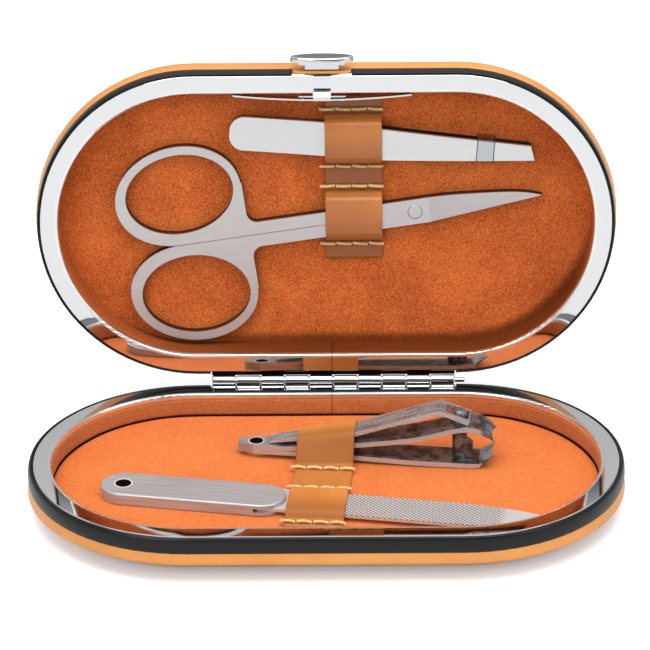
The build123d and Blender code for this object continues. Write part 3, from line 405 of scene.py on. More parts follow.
def jaw_marks(finish):
    """Plates with faces painted dark, patchy, as a painted reflection, between bright cut edges.
    """
    u, v, height = finish.tool_axes(*TOOLS["clipper"])
    tail, tail_half, taper, widest_half = 0.005, 0.00215, 0.0433, 0.0036
    half = ((u - tail) * taper + tail_half).smaller(widest_half)
    face = 1 - (v.size() - half).above(-0.00022, -0.00012)
    past_tail = u.above(0.007, 0.012)
    patches = finish.noise(finish.place(), 420, 2.0, 0.6).above(0.4, 0.6)
    painted_dark_face = face * past_tail * (0.96 - patches * 0.4)
    return (face * 0.55, 0.25), (painted_dark_face, 0.03), *ring(u, v, middle=5.0, radius=1.4, width=0.25)


def lever_marks(finish):
    """A streaky grey back between bright edges: the streaks are brushing, and the back's darker
    grey is a painted reflection.
    """
    u, v, height = finish.tool_axes(*TOOLS["clipper"])
    tail, tail_half, taper, widest_half = 0.008, 0.00145, 0.0667, 0.00265
    half = ((u - tail) * taper + tail_half).smaller(widest_half)
    face = 1 - (v.size() - half).above(-0.0002, -0.0001)
    streaks = finish.noise(finish.place(turn=(0, 0, 5.2), scale=(60, 1500, 600)), 1.0, 2.0, 0.6)
    return ((face * (streaks.above(0.35, 0.65) * 0.6 + 0.25), 0.13),)


TEETH_PITCH = 0.0007


def cut_steel(name, turn):
    """The file's face: two sets of diagonal teeth that stop before the plain tip."""
    finish = Finish(name, "file_steel", Metallic=0.5)
    u, v, w = finish.parts(finish.place(turn=turn))
    first = ((u * 0.62 + v * 0.78) * (2 * pi / TEETH_PITCH)).sine()
    second = ((u * 0.80 - v * 0.55) * (2 * pi / TEETH_PITCH)).sine()
    ridges = (first * 0.5 + 0.5).above(0.2, 0.8) * (second * 0.35 + 0.65)
    upper_face = w.above(0.00685, 0.00695)
    before_tip = 1 - u.above(0.0375, 0.0395)
    reach = before_tip * u.above(0.0, 0.0004) * upper_face
    height = ridges * reach
    # Painted highlight: the teeth's tops are bright and their grooves grey.
    tone = finish.mix(height + (1 - reach) * 0.55, rgb(138, 136, 134), rgb(255, 255, 255))
    return finish.give(Base_Color=tone, Roughness=0.45 - height * 0.1,
                       Normal=finish.bump(height, 0.09, 0.7))


def black_bead():
    finish = Finish("black_bead", "dark_trim", Base_Color=(0.006, 0.006, 0.007, 1),
                    Specular_IOR_Level=0.3)
    haze = finish.noise(finish.place(), 500, 3.0, 0.6)
    return finish.give(Roughness=haze * 0.12 + 0.26, Normal=finish.bump(haze, 0.01, 0.4))


def waxed_thread():
    finish = Finish("waxed_thread", "thread", Specular_IOR_Level=0.35, Sheen_Weight=0.2)
    fibres = finish.noise(finish.place(), 4200, 2.0, 0.6)
    tone = finish.mix(fibres.above(0.25, 0.75), rgb(206, 150, 82), rgb(255, 232, 172))
    return finish.give(Base_Color=tone, Roughness=fibres * 0.2 + 0.5,
                       Normal=finish.bump(fibres, 0.03, 0.6))


def clear_band():
    """Clear soft plastic, painted darker at its two cut ends, where the light is caught."""
    finish = Finish("clear_band", "clear_plastic", Transmission_Weight=1.0, IOR=1.42)
    u, v, height = finish.tool_axes(*TOOLS["tweezers"])
    middle, end_start, half = 0.05385, 0.00165, 0.00172
    end = (u - middle).size().above(end_start, half)
    haze = finish.noise(finish.place(), 900, 2.0, 0.5)
    return finish.give(Base_Color=finish.mix(end, (0.90, 0.93, 0.96), (0.16, 0.19, 0.22)),
                       Roughness=haze * 0.03 + 0.01)


def moulded_board():
    finish = Finish("moulded_board", "shell_plastic")
    grain = finish.noise(finish.place(), 800, 2.0, 0.5)
    tone = finish.mix(grain, rgb(60, 48, 40), rgb(92, 74, 60))
    return finish.give(Base_Color=tone, Roughness=grain * 0.1 + 0.6)


# The lid's suedes are darker copies of the tray's, with deeper darks in the grain: painted shade.
lining = {
    "lower": suede("lower_suede", rgb(228, 128, 68), rgb(204, 104, 48), contrast=0.5),
    "lid": suede("lid_suede", rgb(232, 126, 66), rgb(150, 66, 30), painted_edge_shade=0.75, contrast=1.3,
                 fineness=3700, bloom=0.0),
}
wall_lining = {
    "lower": suede("lower_wall_suede", rgb(196, 122, 72), rgb(168, 98, 54), contrast=0.7),
    "lid": suede("lid_wall_suede", rgb(192, 106, 56), rgb(158, 80, 40), painted_edge_shade=0.85,
                 painted_low_shade=0.6, bloom=0.0),
}
cover_leather = calf_leather("cover_leather", "cover_leather", rgb(226, 154, 78),
                             rgb(210, 136, 62), 0.45, cover_shade)
strap_leather = {
    tray: calf_leather(f"{tray}_strap_leather", "strap_leather", light, dark, gloss,
                       lambda finish, tray=tray: strap_shade(finish, tray), polish)
    for tray, light, dark, gloss, polish in (
        ("lower", rgb(212, 138, 70), rgb(188, 114, 54), 0.42, 0.02),
        ("lid", rgb(200, 128, 66), rgb(176, 104, 48), 0.3, 0.2))}
bead = black_bead()
thread = waxed_thread()

plated().on("hinge_pin", "clasp_button", "clasp_catch", "clasp_spring", "clasp_rivets")
plated("hinge_plating", leaf=True).on("lower_hinge_leaf", "lid_hinge_leaf")
for tray in TRAYS:
    plated(f"{tray}_rim_plating", rim=tray).on(f"{tray}_rim_frame")
moulded_board().on("lower_shell", "lid_shell")
clear_band().on("tweezers_sleeve")
cut_steel("file_teeth", (0, 0, 10.3)).on("file_blade")
satin_steel("scissors_steel", (0, 8.15, 0), 0.64, 0.54, 0.36, 0.8, scissors_marks, 0.0).on(
    "scissors_upper_half", "scissors_lower_half", "scissors_screw")
satin_steel("tweezers_steel", (0, -4.28, 0), 0.76, 0.68, 0.30, 0.85, blue=0.01).on(
    "tweezers_front_arm")
# The back arm's lighter, less metallic steel shows only on its edge, as a painted highlight; the
# rest is painted shade.
satin_steel("inner_arm_steel", (0, -4.28, 0), 0.88, 0.80, 0.30, 0.3, inner_arm_marks).on(
    "tweezers_back_arm")
satin_steel("jaw_steel", (0, 0, 5.2), 0.60, 0.46, 0.30, 0.5, jaw_marks, 0.02).on(
    "clipper_upper_jaw", "clipper_lower_jaw", "clipper_post")
satin_steel("lever_steel", (0, 0, 5.2), 0.64, 0.50, 0.28, 0.55, lever_marks, 0.03).on(
    "clipper_lever", "clipper_cross_pin")
satin_steel("file_handle_steel", (0, 0, 10.3), 0.60, 0.36, 0.40, 0.55, handle_marks, 0.02).on(
    "file_handle")


# ================================================================ CAD surfaces
def geometry_tree(name, numbers, others=()):
    """A Geometry Nodes tree with named inputs, and what those inputs give."""
    group = bpy.data.node_groups.new(name, "GeometryNodeTree")
    kinds = {"Geometry": "Geometry", **dict(others), **{label: "Float" for label in numbers}}
    for label, kind in kinds.items():
        socket = group.interface.new_socket(label, in_out="INPUT",
                                            socket_type=f"NodeSocket{kind}")
        if label in numbers:
            socket.default_value = numbers[label]
    group.interface.new_socket("Geometry", in_out="OUTPUT", socket_type="NodeSocketGeometry")
    tree = Tree(group)
    return tree, tree.node("NodeGroupInput")


def put_tree(holder, name, tree, **values):
    """Puts a Geometry Nodes modifier on an object and sets its named inputs."""
    modifier = holder.modifiers.new(name, "NODES")
    modifier.node_group = tree.group
    for item in tree.group.interface.items_tree:
        if item.in_out == "INPUT" and item.name in values:
            modifier[item.identifier] = values[item.name]


def real_edges_tree():
    """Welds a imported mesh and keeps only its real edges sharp."""
    tree, given = geometry_tree("keep_real_edges",
                                {"Weld distance": 2e-7, "Sharp angle": radians(24)})
    welded = tree.node("GeometryNodeMergeByDistance", None, {
        "Geometry": given["Geometry"], "Distance": given["Weld distance"]})["Geometry"]
    faces = tree.node("GeometryNodeSetShadeSmooth", {"domain": "FACE"},
                      {"Geometry": welded})["Geometry"]
    angle = tree.node("GeometryNodeInputMeshEdgeAngle")["Unsigned Angle"]
    sharp = tree.node("FunctionNodeCompare", {"operation": "GREATER_THAN"},
                      {"A": angle, "B": given["Sharp angle"]})["Result"]
    edges = tree.node("GeometryNodeSetShadeSmooth", {"domain": "EDGE"}, {
        "Geometry": faces, "Selection": sharp, "Shade Smooth": False})["Geometry"]
    tree.node("NodeGroupOutput", None, {"Geometry": edges})
    return tree


def flange_tree():
    """Tilts the flat of a rim: its inner edge rises, up to the top, and its outer edge falls."""
    sizes = {"Straight half": END_X, "Outer edge": HALF_WIDTH,
             "Inner edge": HALF_WIDTH - FLANGE_WIDTH, "Outer lift": -0.11, "Inner lift": 0.22,
             "Reach down": -0.9, "Top": -0.06}
    tree, given = geometry_tree("tilted_flange", {label: mm * MM for label, mm in sizes.items()},
                                [(label, "Vector") for label in ("Middle", "Across", "Up")])
    here = tree.node("GeometryNodeInputPosition")["Position"]
    place = tree.vector("SUBTRACT", here, given["Middle"])
    across = tree.vector("DOT_PRODUCT", place, given["Across"], output="Value")
    height = tree.vector("DOT_PRODUCT", place, given["Up"], output="Value")
    past = (tree.parts(place)[0].size() - given["Straight half"]).larger(0.0)
    flat = tree.node("ShaderNodeCombineXYZ", None, {0: past, 1: across})["Vector"]
    lift = tree.node("ShaderNodeMapRange", None, {
        "Value": tree.vector("LENGTH", flat, output="Value"), "From Min": given["Outer edge"],
        "From Max": given["Inner edge"], "To Min": given["Outer lift"],
        "To Max": given["Inner lift"]})["Result"].smaller(given["Top"] - height)
    on_top = height.over(given["Reach down"])
    moved = tree.node("GeometryNodeSetPosition", None, {
        "Geometry": given["Geometry"],
        "Offset": tree.vector("MULTIPLY", given["Up"], lift * on_top)})["Geometry"]
    tree.node("NodeGroupOutput", None, {"Geometry": moved})
    return tree


tilted_flange = flange_tree()
for tray, place in TRAYS.items():
    turned = place.to_3x3()
    put_tree(nodes[f"{tray}_rim_frame"], "tilted_flange", tilted_flange,
             Middle=place.translation * MM, Across=turned @ Vector((0, 1, 0)),
             Up=turned @ Vector((0, 0, 1)))

keep_real_edges = real_edges_tree()
for name, node in nodes.items():
    put_tree(node, "real_edges", keep_real_edges)
    if not name.endswith("rim_frame"):
        leveller = node.modifiers.new("flat_faces_stay_flat", "WEIGHTED_NORMAL")
        leveller.mode = "FACE_AREA"
        leveller.weight = 100
        leveller.keep_sharp = True


# ================================================================ shapes in millimetres
LEATHER_GAUGE = 0.6
BULGE = 0.93
BULGE_DEPTH = 5.75
CORNERS = {"lower": (8.0, 0.1), "lid": (10.0, 0.4)}
LEG_BOTTOM = 3.07
TRIM_EDGE = 0.4
CLASP_X = -0.5
SEAM_X = 1.0
STRAP_HALF = 6.0
STRAP_GAUGE = 0.55
STITCHES = 4
STITCH_LENGTH = 3.05
STITCH_PITCH = 3.43
THREAD_R = 0.44


def linked(name, data):
    made = bpy.data.objects.new(name, data)
    bpy.context.scene.collection.objects.link(made)
    return made


def new_piece(name, places, faces, finish, tray):
    """A mesh drawn in a tray's frame in millimetres, with its place in its mesh."""
    mesh = bpy.data.meshes.new(name)
    mesh.from_pydata(places, [], faces)
    mesh.transform(Matrix.Scale(MM, 4) @ TRAYS[tray])
    mesh.update()
    edit = bmesh.new()
    edit.from_mesh(mesh)
    bmesh.ops.remove_doubles(edit, verts=edit.verts, dist=1e-7)
    bmesh.ops.dissolve_degenerate(edit, edges=edit.edges, dist=1e-8)
    bmesh.ops.recalc_face_normals(edit, faces=edit.faces)
    edit.to_mesh(mesh)
    edit.free()
    mesh.polygons.foreach_set("use_smooth", [True] * len(mesh.polygons))
    mesh.materials.append(finish.material)
    piece = linked(name, mesh)
    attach(piece, BODIES[tray])
    return piece


def round_the_tray(extra_front=(), extra_back=(), straight=44, half_turn=40):
    """Spots round the tray's long axis: (x on the axis, way out in x, way out in v)."""
    def stations(extra):
        even = [END_X * (2 * i / straight - 1) for i in range(straight)]
        kept = [x for x in even if all(abs(x - e) > 0.2 for e in extra)]
        return sorted(kept + list(extra))
    spots = [(x, 0, -1) for x in stations(extra_front)]
    spots += [(END_X, sin(a), -cos(a)) for a in (pi * i / half_turn for i in range(half_turn))]
    spots += [(-x, 0, 1) for x in stations([-x for x in extra_back])]
    spots += [(-END_X, -sin(a), cos(a)) for a in (pi * i / half_turn for i in range(half_turn))]
    return spots


def carried_round(spots, profile, closed):
    """Carries a profile round the tray. It gives (distance from the axis, height) at a spot."""
    places = []
    for spot in spots:
        x, out_x, out_v = spot
        section = profile(spot)
        places += [(x + out_x * r, out_v * r, height) for r, height in section]
    count = len(section)
    faces = []
    for i in range(len(spots)):
        here, beyond = i * count, (i + 1) % len(spots) * count
        for j in range(count if closed else count - 1):
            k = (j + 1) % count
            faces.append((here + j, beyond + j, beyond + k, here + k))
    return places, faces


def ease(value):
    """0 up to 0, 1 from 1 on, and smooth between them."""
    value = min(1.0, max(0.0, value))
    return value * value * (3 - 2 * value)


def waves(x, v, size, seed):
    """Slow unevenness between -1 and 1."""
    return noise.noise(Vector((x / size + seed * 7.3, v / size - seed * 3.1, seed * 1.7))) * 1.6


# ================================================================ padded floors
# A pad's edge, the width of its roll and how far the roll falls.
PAD_EDGES = {"lower": (28.74, 0.55, 0.34), "lid": (28.9, 1.6, 0.06)}
PAD_RINGS = 46
PAD_CROWDING = 1.35
PAD_SAG, PAD_WAVE = 0.05, 0.045
PAD_SKIRT = 1.3
ROW_PULL, ROW_REACH = 0.34, 0.8


def pressed_by_strap(tray, x, v):
    """How deep the stitched rows pull the pad down."""
    strap = STRAPS[tray]
    turn = radians(-strap["turn"])
    dx, dv = x - strap["place"][0], v - strap["place"][1]
    across = dx * cos(turn) - dv * sin(turn)
    along = dx * sin(turn) + dv * cos(turn)
    inside = ease((STRAP_HALF + 2.2 - abs(across)) / 2.0)
    pulls = (ROW_PULL * exp(-((along - row) / ROW_REACH) ** 2) for row in strap["rows"])
    return max(pulls) * inside


def padded_floor(tray):
    """Board and foam under suede: nearly flat, its edge rolled down along the wall."""
    top = -FLOORS[tray]
    edge, roll_width, roll_fall = PAD_EDGES[tray]

    def profile(spot):
        x, out_x, out_v = spot
        section = []
        for ring in range(PAD_RINGS + 1):
            share = ring / PAD_RINGS
            r = edge * (1 - (1 - share) ** PAD_CROWDING)
            fall = max(0.0, r - (edge - roll_width)) / roll_width
            roll = roll_fall * (1 - max(0.0, 1 - fall * fall) ** 0.5)
            px, pv = x + out_x * r, out_v * r
            height = top - roll - pressed_by_strap(tray, px, pv)
            section.append((r, height - PAD_SAG + PAD_WAVE * waves(px, pv, 9, 2)))
        return section + [(edge, top - PAD_SKIRT), (0.0, top - PAD_SKIRT - 0.1)]

    spots = round_the_tray(straight=60, half_turn=44)
    places, faces = carried_round(spots, profile, closed=False)
    pad = new_piece(f"{tray}_padded_floor", places, faces, lining[tray], tray)
    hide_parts(f"{tray}_floor_pad")


# ================================================================ lined walls
# How high each wall's foot stands over its pad, how far the wall swells into the tray, how far
# its top and foot turn back, and how deep its seam is.
WALL_FOOT = {"lower": 0.1, "lid": -0.75}
WALL_SWELL, WALL_WAVE = 0.09, 0.05
TOP_TURN, FOOT_TURN = 0.3, {"lower": 0.2, "lid": 0.0}
SEAM_DEPTH, SEAM_HALF, SEAM_SOFT = 0.28, 0.05, 0.12
WINDOW_SOFT = 0.02


def near(value, middle, half, soft):
    """1 within half of the middle, and 0 from soft beyond it."""
    return ease((half + soft - abs(value - middle)) / soft)


def lined_wall(tray, seam_side, window_half, window_depth):
    """Suede over board from the rim's lip to the pad, with a butt seam and the catch's window."""
    bottom = WALL_FOOT[tray] - FLOORS[tray]
    steps = 14

    def profile(spot):
        x, out_x, out_v = spot
        side = out_v * seam_side
        window = near(x, CLASP_X, window_half, WINDOW_SOFT) if side < -0.99 else 0
        seam = near(x, SEAM_X, SEAM_HALF, SEAM_SOFT) if side > 0.99 else 0
        top = -LIP_BOTTOM - 0.02 - window * (window_depth - LIP_BOTTOM)
        inner, outer = [], []
        for step in range(steps + 1):
            share = step / steps
            height = top + (bottom - top) * share
            px, pv = x + out_x * WALL_FACE, out_v * WALL_FACE
            swell = WALL_SWELL * sin(pi * share)
            swell += WALL_WAVE * waves(px + height * 2, pv + height, 7, 4)
            turned = TOP_TURN * (1 - min(1.0, share * 9) ** 0.5)
            turned += FOOT_TURN[tray] * ease((share - 0.9) / 0.1)
            inner.append((WALL_FACE + 0.05 - swell + turned + SEAM_DEPTH * seam, height))
            outer.append((WALL_FACE + WALL_GAUGE, height))
        return inner + outer[::-1]

    edges = [CLASP_X + side * (window_half + gap)
             for side in (-1, 1) for gap in (0.0, WINDOW_SOFT)]
    seam = [SEAM_X + d for d in (-0.17, -0.11, -0.05, 0.0, 0.05, 0.11, 0.17)]
    front, back = (edges, seam) if seam_side > 0 else (seam, edges)
    places, faces = carried_round(round_the_tray(front, back), profile, closed=True)
    wall = new_piece(f"{tray}_lined_wall", places, faces, wall_lining[tray], tray)
    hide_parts(f"{tray}_lining_wall")


# ================================================================ dark beads
BEAD_BULGE = {"lower": 1.0, "lid": 0.55}
BEAD_LINE = ((33.0, -0.12), (33.3, -0.12), (33.52, -0.32), (33.67, -0.8), (33.76, -1.4),
             (33.8, -2.1), (33.78, -2.8), (33.7, -3.3), (33.58, -3.62), (33.0, -3.62))
HINGE_X, HINGE_HALF, TAB_HALF = 1.25, 26.15, 6.2
HINGE_GAP = (HINGE_X - HINGE_HALF, HINGE_X + HINGE_HALF)
TAB_GAP = (CLASP_X - TAB_HALF, CLASP_X + TAB_HALF)
SAME = 1e-6


def dark_bead(tray, seam_side):
    """The bead round the rim's outer leg. It stops for the hinge and for the leather tab."""
    gaps = {seam_side: HINGE_GAP}
    if tray == "lid":
        gaps[-seam_side] = TAB_GAP
    spots = round_the_tray(gaps.get(-1, ()), gaps.get(1, ()))
    line = [(HALF_WIDTH + (r - HALF_WIDTH) * BEAD_BULGE[tray], height) for r, height in BEAD_LINE]
    places, faces = carried_round(spots, lambda spot: line, closed=True)
    count = len(line)

    def in_gap(i):
        x, out_x, out_v = spots[i]
        gap = gaps.get(round(out_v)) if out_x == 0 else None
        return gap is not None and gap[0] - SAME < x < gap[1] + SAME

    kept = []
    for face in faces:
        here = face[0] // count
        if not (in_gap(here) and in_gap((here + 1) % len(spots))):
            kept.append(face)
    for side, gap in gaps.items():
        for x_end in gap:
            spot = next(i for i, (x, _, out_v) in enumerate(spots)
                        if abs(x - x_end) < SAME and out_v == side)
            kept.append(tuple(range(spot * count, (spot + 1) * count)))
    used = sorted({i for face in kept for i in face})
    number = {old: new for new, old in enumerate(used)}
    piece = new_piece(f"{tray}_dark_bead", [places[i] for i in used],
                      [tuple(number[i] for i in face) for face in kept], bead, tray)
    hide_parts(f"{tray}_edge_trim")


# ================================================================ leather covers
COVER_WAVE = 0.05


def bezier(a, b, c, d, t):
    """The place at t on a cubic curve in a plane."""
    s = 1 - t
    return tuple(s**3 * a[i] + 3 * s * s * t * b[i] + 3 * s * t * t * c[i] + t**3 * d[i]
                 for i in (0, 1))


def cover_line(tray, inset):
    """The side of the leather from under the dark bead to the middle of the flat underside."""
    corner_run, fullness = CORNERS[tray]
    top_r, widest = HALF_WIDTH + TRIM_EDGE - inset, HALF_WIDTH + BULGE - inset
    flat_r, flat = HALF_WIDTH + BULGE - corner_run, -TRAY_DEPTH + inset
    rise = BULGE_DEPTH - LEG_BOTTOM
    lean = BULGE - TRIM_EDGE
    radius = (rise**2 + lean**2) / (2 * lean)
    line, side_steps, corner_steps = [], 8, 16
    for step in range(side_steps + 1):
        down = rise * step / side_steps
        back = radius - (radius**2 - (rise - down) ** 2) ** 0.5
        line.append((widest - back, -LEG_BOTTOM - down))
    drop, run = -BULGE_DEPTH - flat, widest - flat_r
    corner = [(widest, -BULGE_DEPTH), (widest, -BULGE_DEPTH - fullness * drop),
              (flat_r + fullness * run, flat), (flat_r, flat)]
    line += [bezier(*corner, step / corner_steps) for step in range(1, corner_steps + 1)]
    line += [(flat_r * share, flat) for share in (0.8, 0.6, 0.4, 0.2, 0.0)]
    line[0] = (top_r, -LEG_BOTTOM)
    return line


def cover_tab():
    """The leather between the ends of the lid's dark bead, with the pusher's slot in it."""
    half, low, high, face, gauge, round_over = 6.1, -3.35, -0.5, HALF_WIDTH + 0.02, 0.53, 0.12
    slot_half, slot_rise, slot_middle = 3.75, 0.75, -1.8
    steps = 40
    rings = []
    for grow, depth in ((0, 0), (0, gauge - round_over), (-round_over, gauge)):
        rings.append((half + grow, (high - low) / 2 + grow, (high + low) / 2, depth))
    for depth in (gauge, 0):
        rings.append((slot_half, slot_rise, slot_middle, depth))
    places = []
    for wide, tall, middle, depth in rings:
        for step in range(steps):
            angle = 2 * pi * (step + 0.5) / steps
            reach = max(abs(cos(angle)) / wide, abs(sin(angle)) / tall)
            places.append((CLASP_X + cos(angle) / reach, face + depth,
                           middle + sin(angle) / reach))
    faces = []
    for ring in range(len(rings)):
        following = (ring + 1) % len(rings)
        for step in range(steps):
            after = (step + 1) % steps
            faces.append((ring * steps + step, ring * steps + after,
                          following * steps + after, following * steps + step))
    return places, faces


def leather_cover(tray):
    """Leather drawn over the moulded bowl, with the slight unevenness of a glued skin."""
    outer, inner = cover_line(tray, 0), cover_line(tray, LEATHER_GAUGE)

    def profile(spot):
        x, out_x, out_v = spot
        section = []
        for r, height in outer:
            loose = ease((-height - 3.4) / 1.5) * ease((height + 10.45) / 0.6)
            px, pv = x + out_x * r, out_v * r
            wave = COVER_WAVE * loose * waves(px + height, pv - height * 2, 11, 6)
            section.append((r + wave, height))
        return section[::-1] + inner

    places, faces = carried_round(round_the_tray(straight=48, half_turn=56), profile, closed=False)
    if tray == "lid":
        tab_places, tab_faces = cover_tab()
        shift = len(places)
        places += tab_places
        faces += [tuple(i + shift for i in face) for face in tab_faces]
    cover = new_piece(f"{tray}_leather", places, faces, cover_leather, tray)
    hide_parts(f"{tray}_leather_cover")


# ================================================================ straps
BEND_R, FOOT_R = 1.5, 0.45
ROW_PINCH, PINCH_REACH = 0.35, 0.4
SKIN_WAVE, CUT_WAVE = 0.03, 0.06
STRAP_LIFT = 0.03


def bent_line(points, radii, run_steps=10, bend_steps=8):
    """Straight runs joined by smooth bends, with the same number of points whatever the sizes."""
    line = []
    start = Vector(points[0])
    for (before, corner, after), radius in zip(zip(points, points[1:], points[2:]), radii):
        corner = Vector(corner)
        into = (corner - Vector(before)).normalized()
        onward = (Vector(after) - corner).normalized()
        cut = radius * tan(into.angle(onward) / 2)
        first, last = corner - into * cut, corner + onward * cut
        line += [start.lerp(first, i / run_steps) for i in range(run_steps)]
        for i in range(bend_steps):
            t = i / bend_steps
            line.append(first * (1 - t) ** 2 + corner * 2 * t * (1 - t) + last * t * t)
        start = last
    line += [start.lerp(Vector(points[-1]), i / run_steps) for i in range(run_steps + 1)]
    return line


def strap_line(strap, side):
    """The underside at one edge of the strap, side 0 for left and 1 for right."""
    points = [(strap["ends"][0], 0.0)]
    for (back_foot, front_foot), *edges in strap["humps"]:
        back, front, height = edges[side]
        points += [(back_foot, 0.0), (back, height), (front, height), (front_foot, 0.0)]
    points.append((strap["ends"][1], 0.0))
    radii = [FOOT_R, BEND_R, BEND_R, FOOT_R] * len(strap["humps"])
    return bent_line(points, radii)


def strap_section():
    """Across the strap: (distance across, share of the thickness), with rounded cut edges."""
    half = STRAP_HALF
    lip = [(half, 0.12), (half, 0.5), (half - 0.04, 0.8), (half - 0.16, 0.97)]
    top = [(half * (1 - 2 * i / 14) * 0.95, 1.0) for i in range(15)]
    left = [(-x, share) for x, share in lip[::-1]]
    return lip + top + left + [(-half + 0.1, 0.0), (0.0, 0.0), (half - 0.1, 0.0)]


def strap_frame(tray):
    strap = STRAPS[tray]
    return (Matrix.Translation((*strap["place"], -FLOORS[tray]))
            @ Matrix.Rotation(radians(strap["turn"]), 4, "Z"))


def leather_strap(tray):
    """A strap bent over its tools and pulled down along its stitched rows."""
    strap, place = STRAPS[tray], strap_frame(tray)
    left, right = strap_line(strap, 0), strap_line(strap, 1)
    section = strap_section()
    places = []
    for i in range(len(left)):
        for across, share in section:
            blend = (across + STRAP_HALF) / (2 * STRAP_HALF)
            here = left[i].lerp(right[i], blend)
            before = left[max(0, i - 1)].lerp(right[max(0, i - 1)], blend)
            last = min(len(left) - 1, i + 1)
            after = left[last].lerp(right[last], blend)
            way = (after - before).normalized()
            dent = max(exp(-((here.x - row) / PINCH_REACH) ** 2) for row in strap["rows"])
            dent *= 1 if here.y < 0.3 else 0
            thick = STRAP_GAUGE * share * (1 - ROW_PINCH * dent)
            thick += SKIN_WAVE * share * waves(across, here.x, 3, 8)
            edge = CUT_WAVE * waves(here.x * 1.4, across * 0.01, 2, 5)
            edge *= (abs(across) / STRAP_HALF) ** 8
            places.append(place @ Vector((across + edge, here.x + way.y * thick,
                                          here.y - way.x * thick + STRAP_LIFT)))
    count = len(section)
    faces = [(i * count + j, i * count + (j + 1) % count,
              (i + 1) * count + (j + 1) % count, (i + 1) * count + j)
             for i in range(len(left) - 1) for j in range(count)]
    faces += [tuple(range(count)), tuple(reversed(range(len(places) - count, len(places))))]
    piece = new_piece(f"{tray}_leather_strap", places, faces, strap_leather[tray], tray)
    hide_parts(f"{tray}_strap")
    strap_length(left, right) * MM


def strap_length(left, right):
    middle = [a.lerp(b, 0.5) for a, b in zip(left, right)]
    return sum((b - a).length for a, b in zip(middle, middle[1:]))


# ================================================================ stitches
def stitching_tree():
    """Puts a twisted, arched stitch on every point."""
    tree, given = geometry_tree("twisted_stitches", {
        "Length": STITCH_LENGTH * MM, "Thread radius": THREAD_R * MM, "Turns": 2.6,
        "Arch": 0.26 * MM, "Slant": radians(-2.5), "Spread": radians(4.5)},
        [("Thread", "Material")])

    def made(kind, output, **inputs):
        named = {name.replace("_", " "): value for name, value in inputs.items()}
        return tree.node(kind, None, named)[output]

    share = made("GeometryNodeSplineParameter", "Factor")
    bow = share * (1 - share) * 4
    line = made("GeometryNodeCurvePrimitiveLine", "Curve",
                End=made("ShaderNodeCombineXYZ", "Vector", X=given["Length"]))
    fine = made("GeometryNodeResampleCurve", "Curve", Curve=line, Count=17)
    lift = made("ShaderNodeCombineXYZ", "Vector", X=given["Length"] * -0.5, Z=bow * given["Arch"])
    arched = made("GeometryNodeSetPosition", "Geometry", Geometry=fine, Offset=lift)
    twisted = made("GeometryNodeSetCurveTilt", "Curve", Curve=arched,
                   Tilt=share * given["Turns"] * (2 * pi))
    tapered = made("GeometryNodeSetCurveRadius", "Curve", Curve=twisted,
                   Radius=bow ** 0.45 * 0.55 + 0.45)
    plies = made("GeometryNodeCurveStar", "Curve", Points=3, Outer_Radius=given["Thread radius"],
                 Inner_Radius=given["Thread radius"] * 0.62)
    stitch = made("GeometryNodeCurveToMesh", "Mesh", Curve=tapered, Fill_Caps=True,
                  Profile_Curve=made("GeometryNodeSubdivideCurve", "Curve", Curve=plies))
    turn = tree.node("FunctionNodeRandomValue", {"data_type": "FLOAT"}, {"Seed": 4}).made
    low, high = [s for s in turn.inputs if s.type == "VALUE"][:2]
    tree.feed(low, given["Slant"] - given["Spread"])
    tree.feed(high, given["Slant"] + given["Spread"])
    turned = Value(tree, next(s for s in turn.outputs if s.type == "VALUE"))
    copies = made("GeometryNodeInstanceOnPoints", "Instances", Points=given["Geometry"],
                  Instance=stitch, Rotation=made("ShaderNodeCombineXYZ", "Vector", Z=turned))
    real = made("GeometryNodeRealizeInstances", "Geometry", Geometry=copies)
    smooth = made("GeometryNodeSetShadeSmooth", "Geometry", Geometry=real)
    dyed = made("GeometryNodeSetMaterial", "Geometry", Geometry=smooth, Material=given["Thread"])
    tree.node("NodeGroupOutput", None, {"Geometry": dyed})
    return tree


def stitch_rows(tray, tree):
    """Four long stitches in each row. They start a little outside the strap's left edge."""
    strap = STRAPS[tray]
    height = STRAP_GAUGE * 0.75 + THREAD_R * 0.72
    points = [(strap["first_stitch"] + i * STITCH_PITCH, row, height)
              for row in strap["rows"] for i in range(STITCHES)]
    mesh = bpy.data.meshes.new(f"{tray}_stitch_points")
    mesh.from_pydata([tuple(c * MM for c in point) for point in points], [], [])
    holder = linked(f"{tray}_stitch_points", mesh)
    put_tree(holder, "stitches", tree, Thread=thread.material)
    seen = holder.evaluated_get(bpy.context.evaluated_depsgraph_get())
    sewn = bpy.data.meshes.new_from_object(seen)
    bpy.data.objects.remove(holder)
    millimetres = Matrix.Scale(1 / MM, 4)
    sewn.transform(Matrix.Scale(MM, 4) @ TRAYS[tray] @ strap_frame(tray) @ millimetres)
    piece = linked(f"{tray}_stitches", sewn)
    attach(piece, BODIES[tray])
    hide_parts(f"{tray}_strap_stitches")


stitch_tree = stitching_tree()
CATCH_WINDOWS = {"lower": (2.35, 2.6), "lid": (3.75, 2.55)}
for tray, seam_side in (("lower", 1), ("lid", -1)):
    padded_floor(tray)
    lined_wall(tray, seam_side, *CATCH_WINDOWS[tray])
    dark_bead(tray, seam_side)
    leather_cover(tray)
    leather_strap(tray)
    stitch_rows(tray, stitch_tree)


# ================================================================ stage
WHITE = (1, 1, 1, 1)
LIGHTS_AIM = Vector((0, 0.02, 0.03))


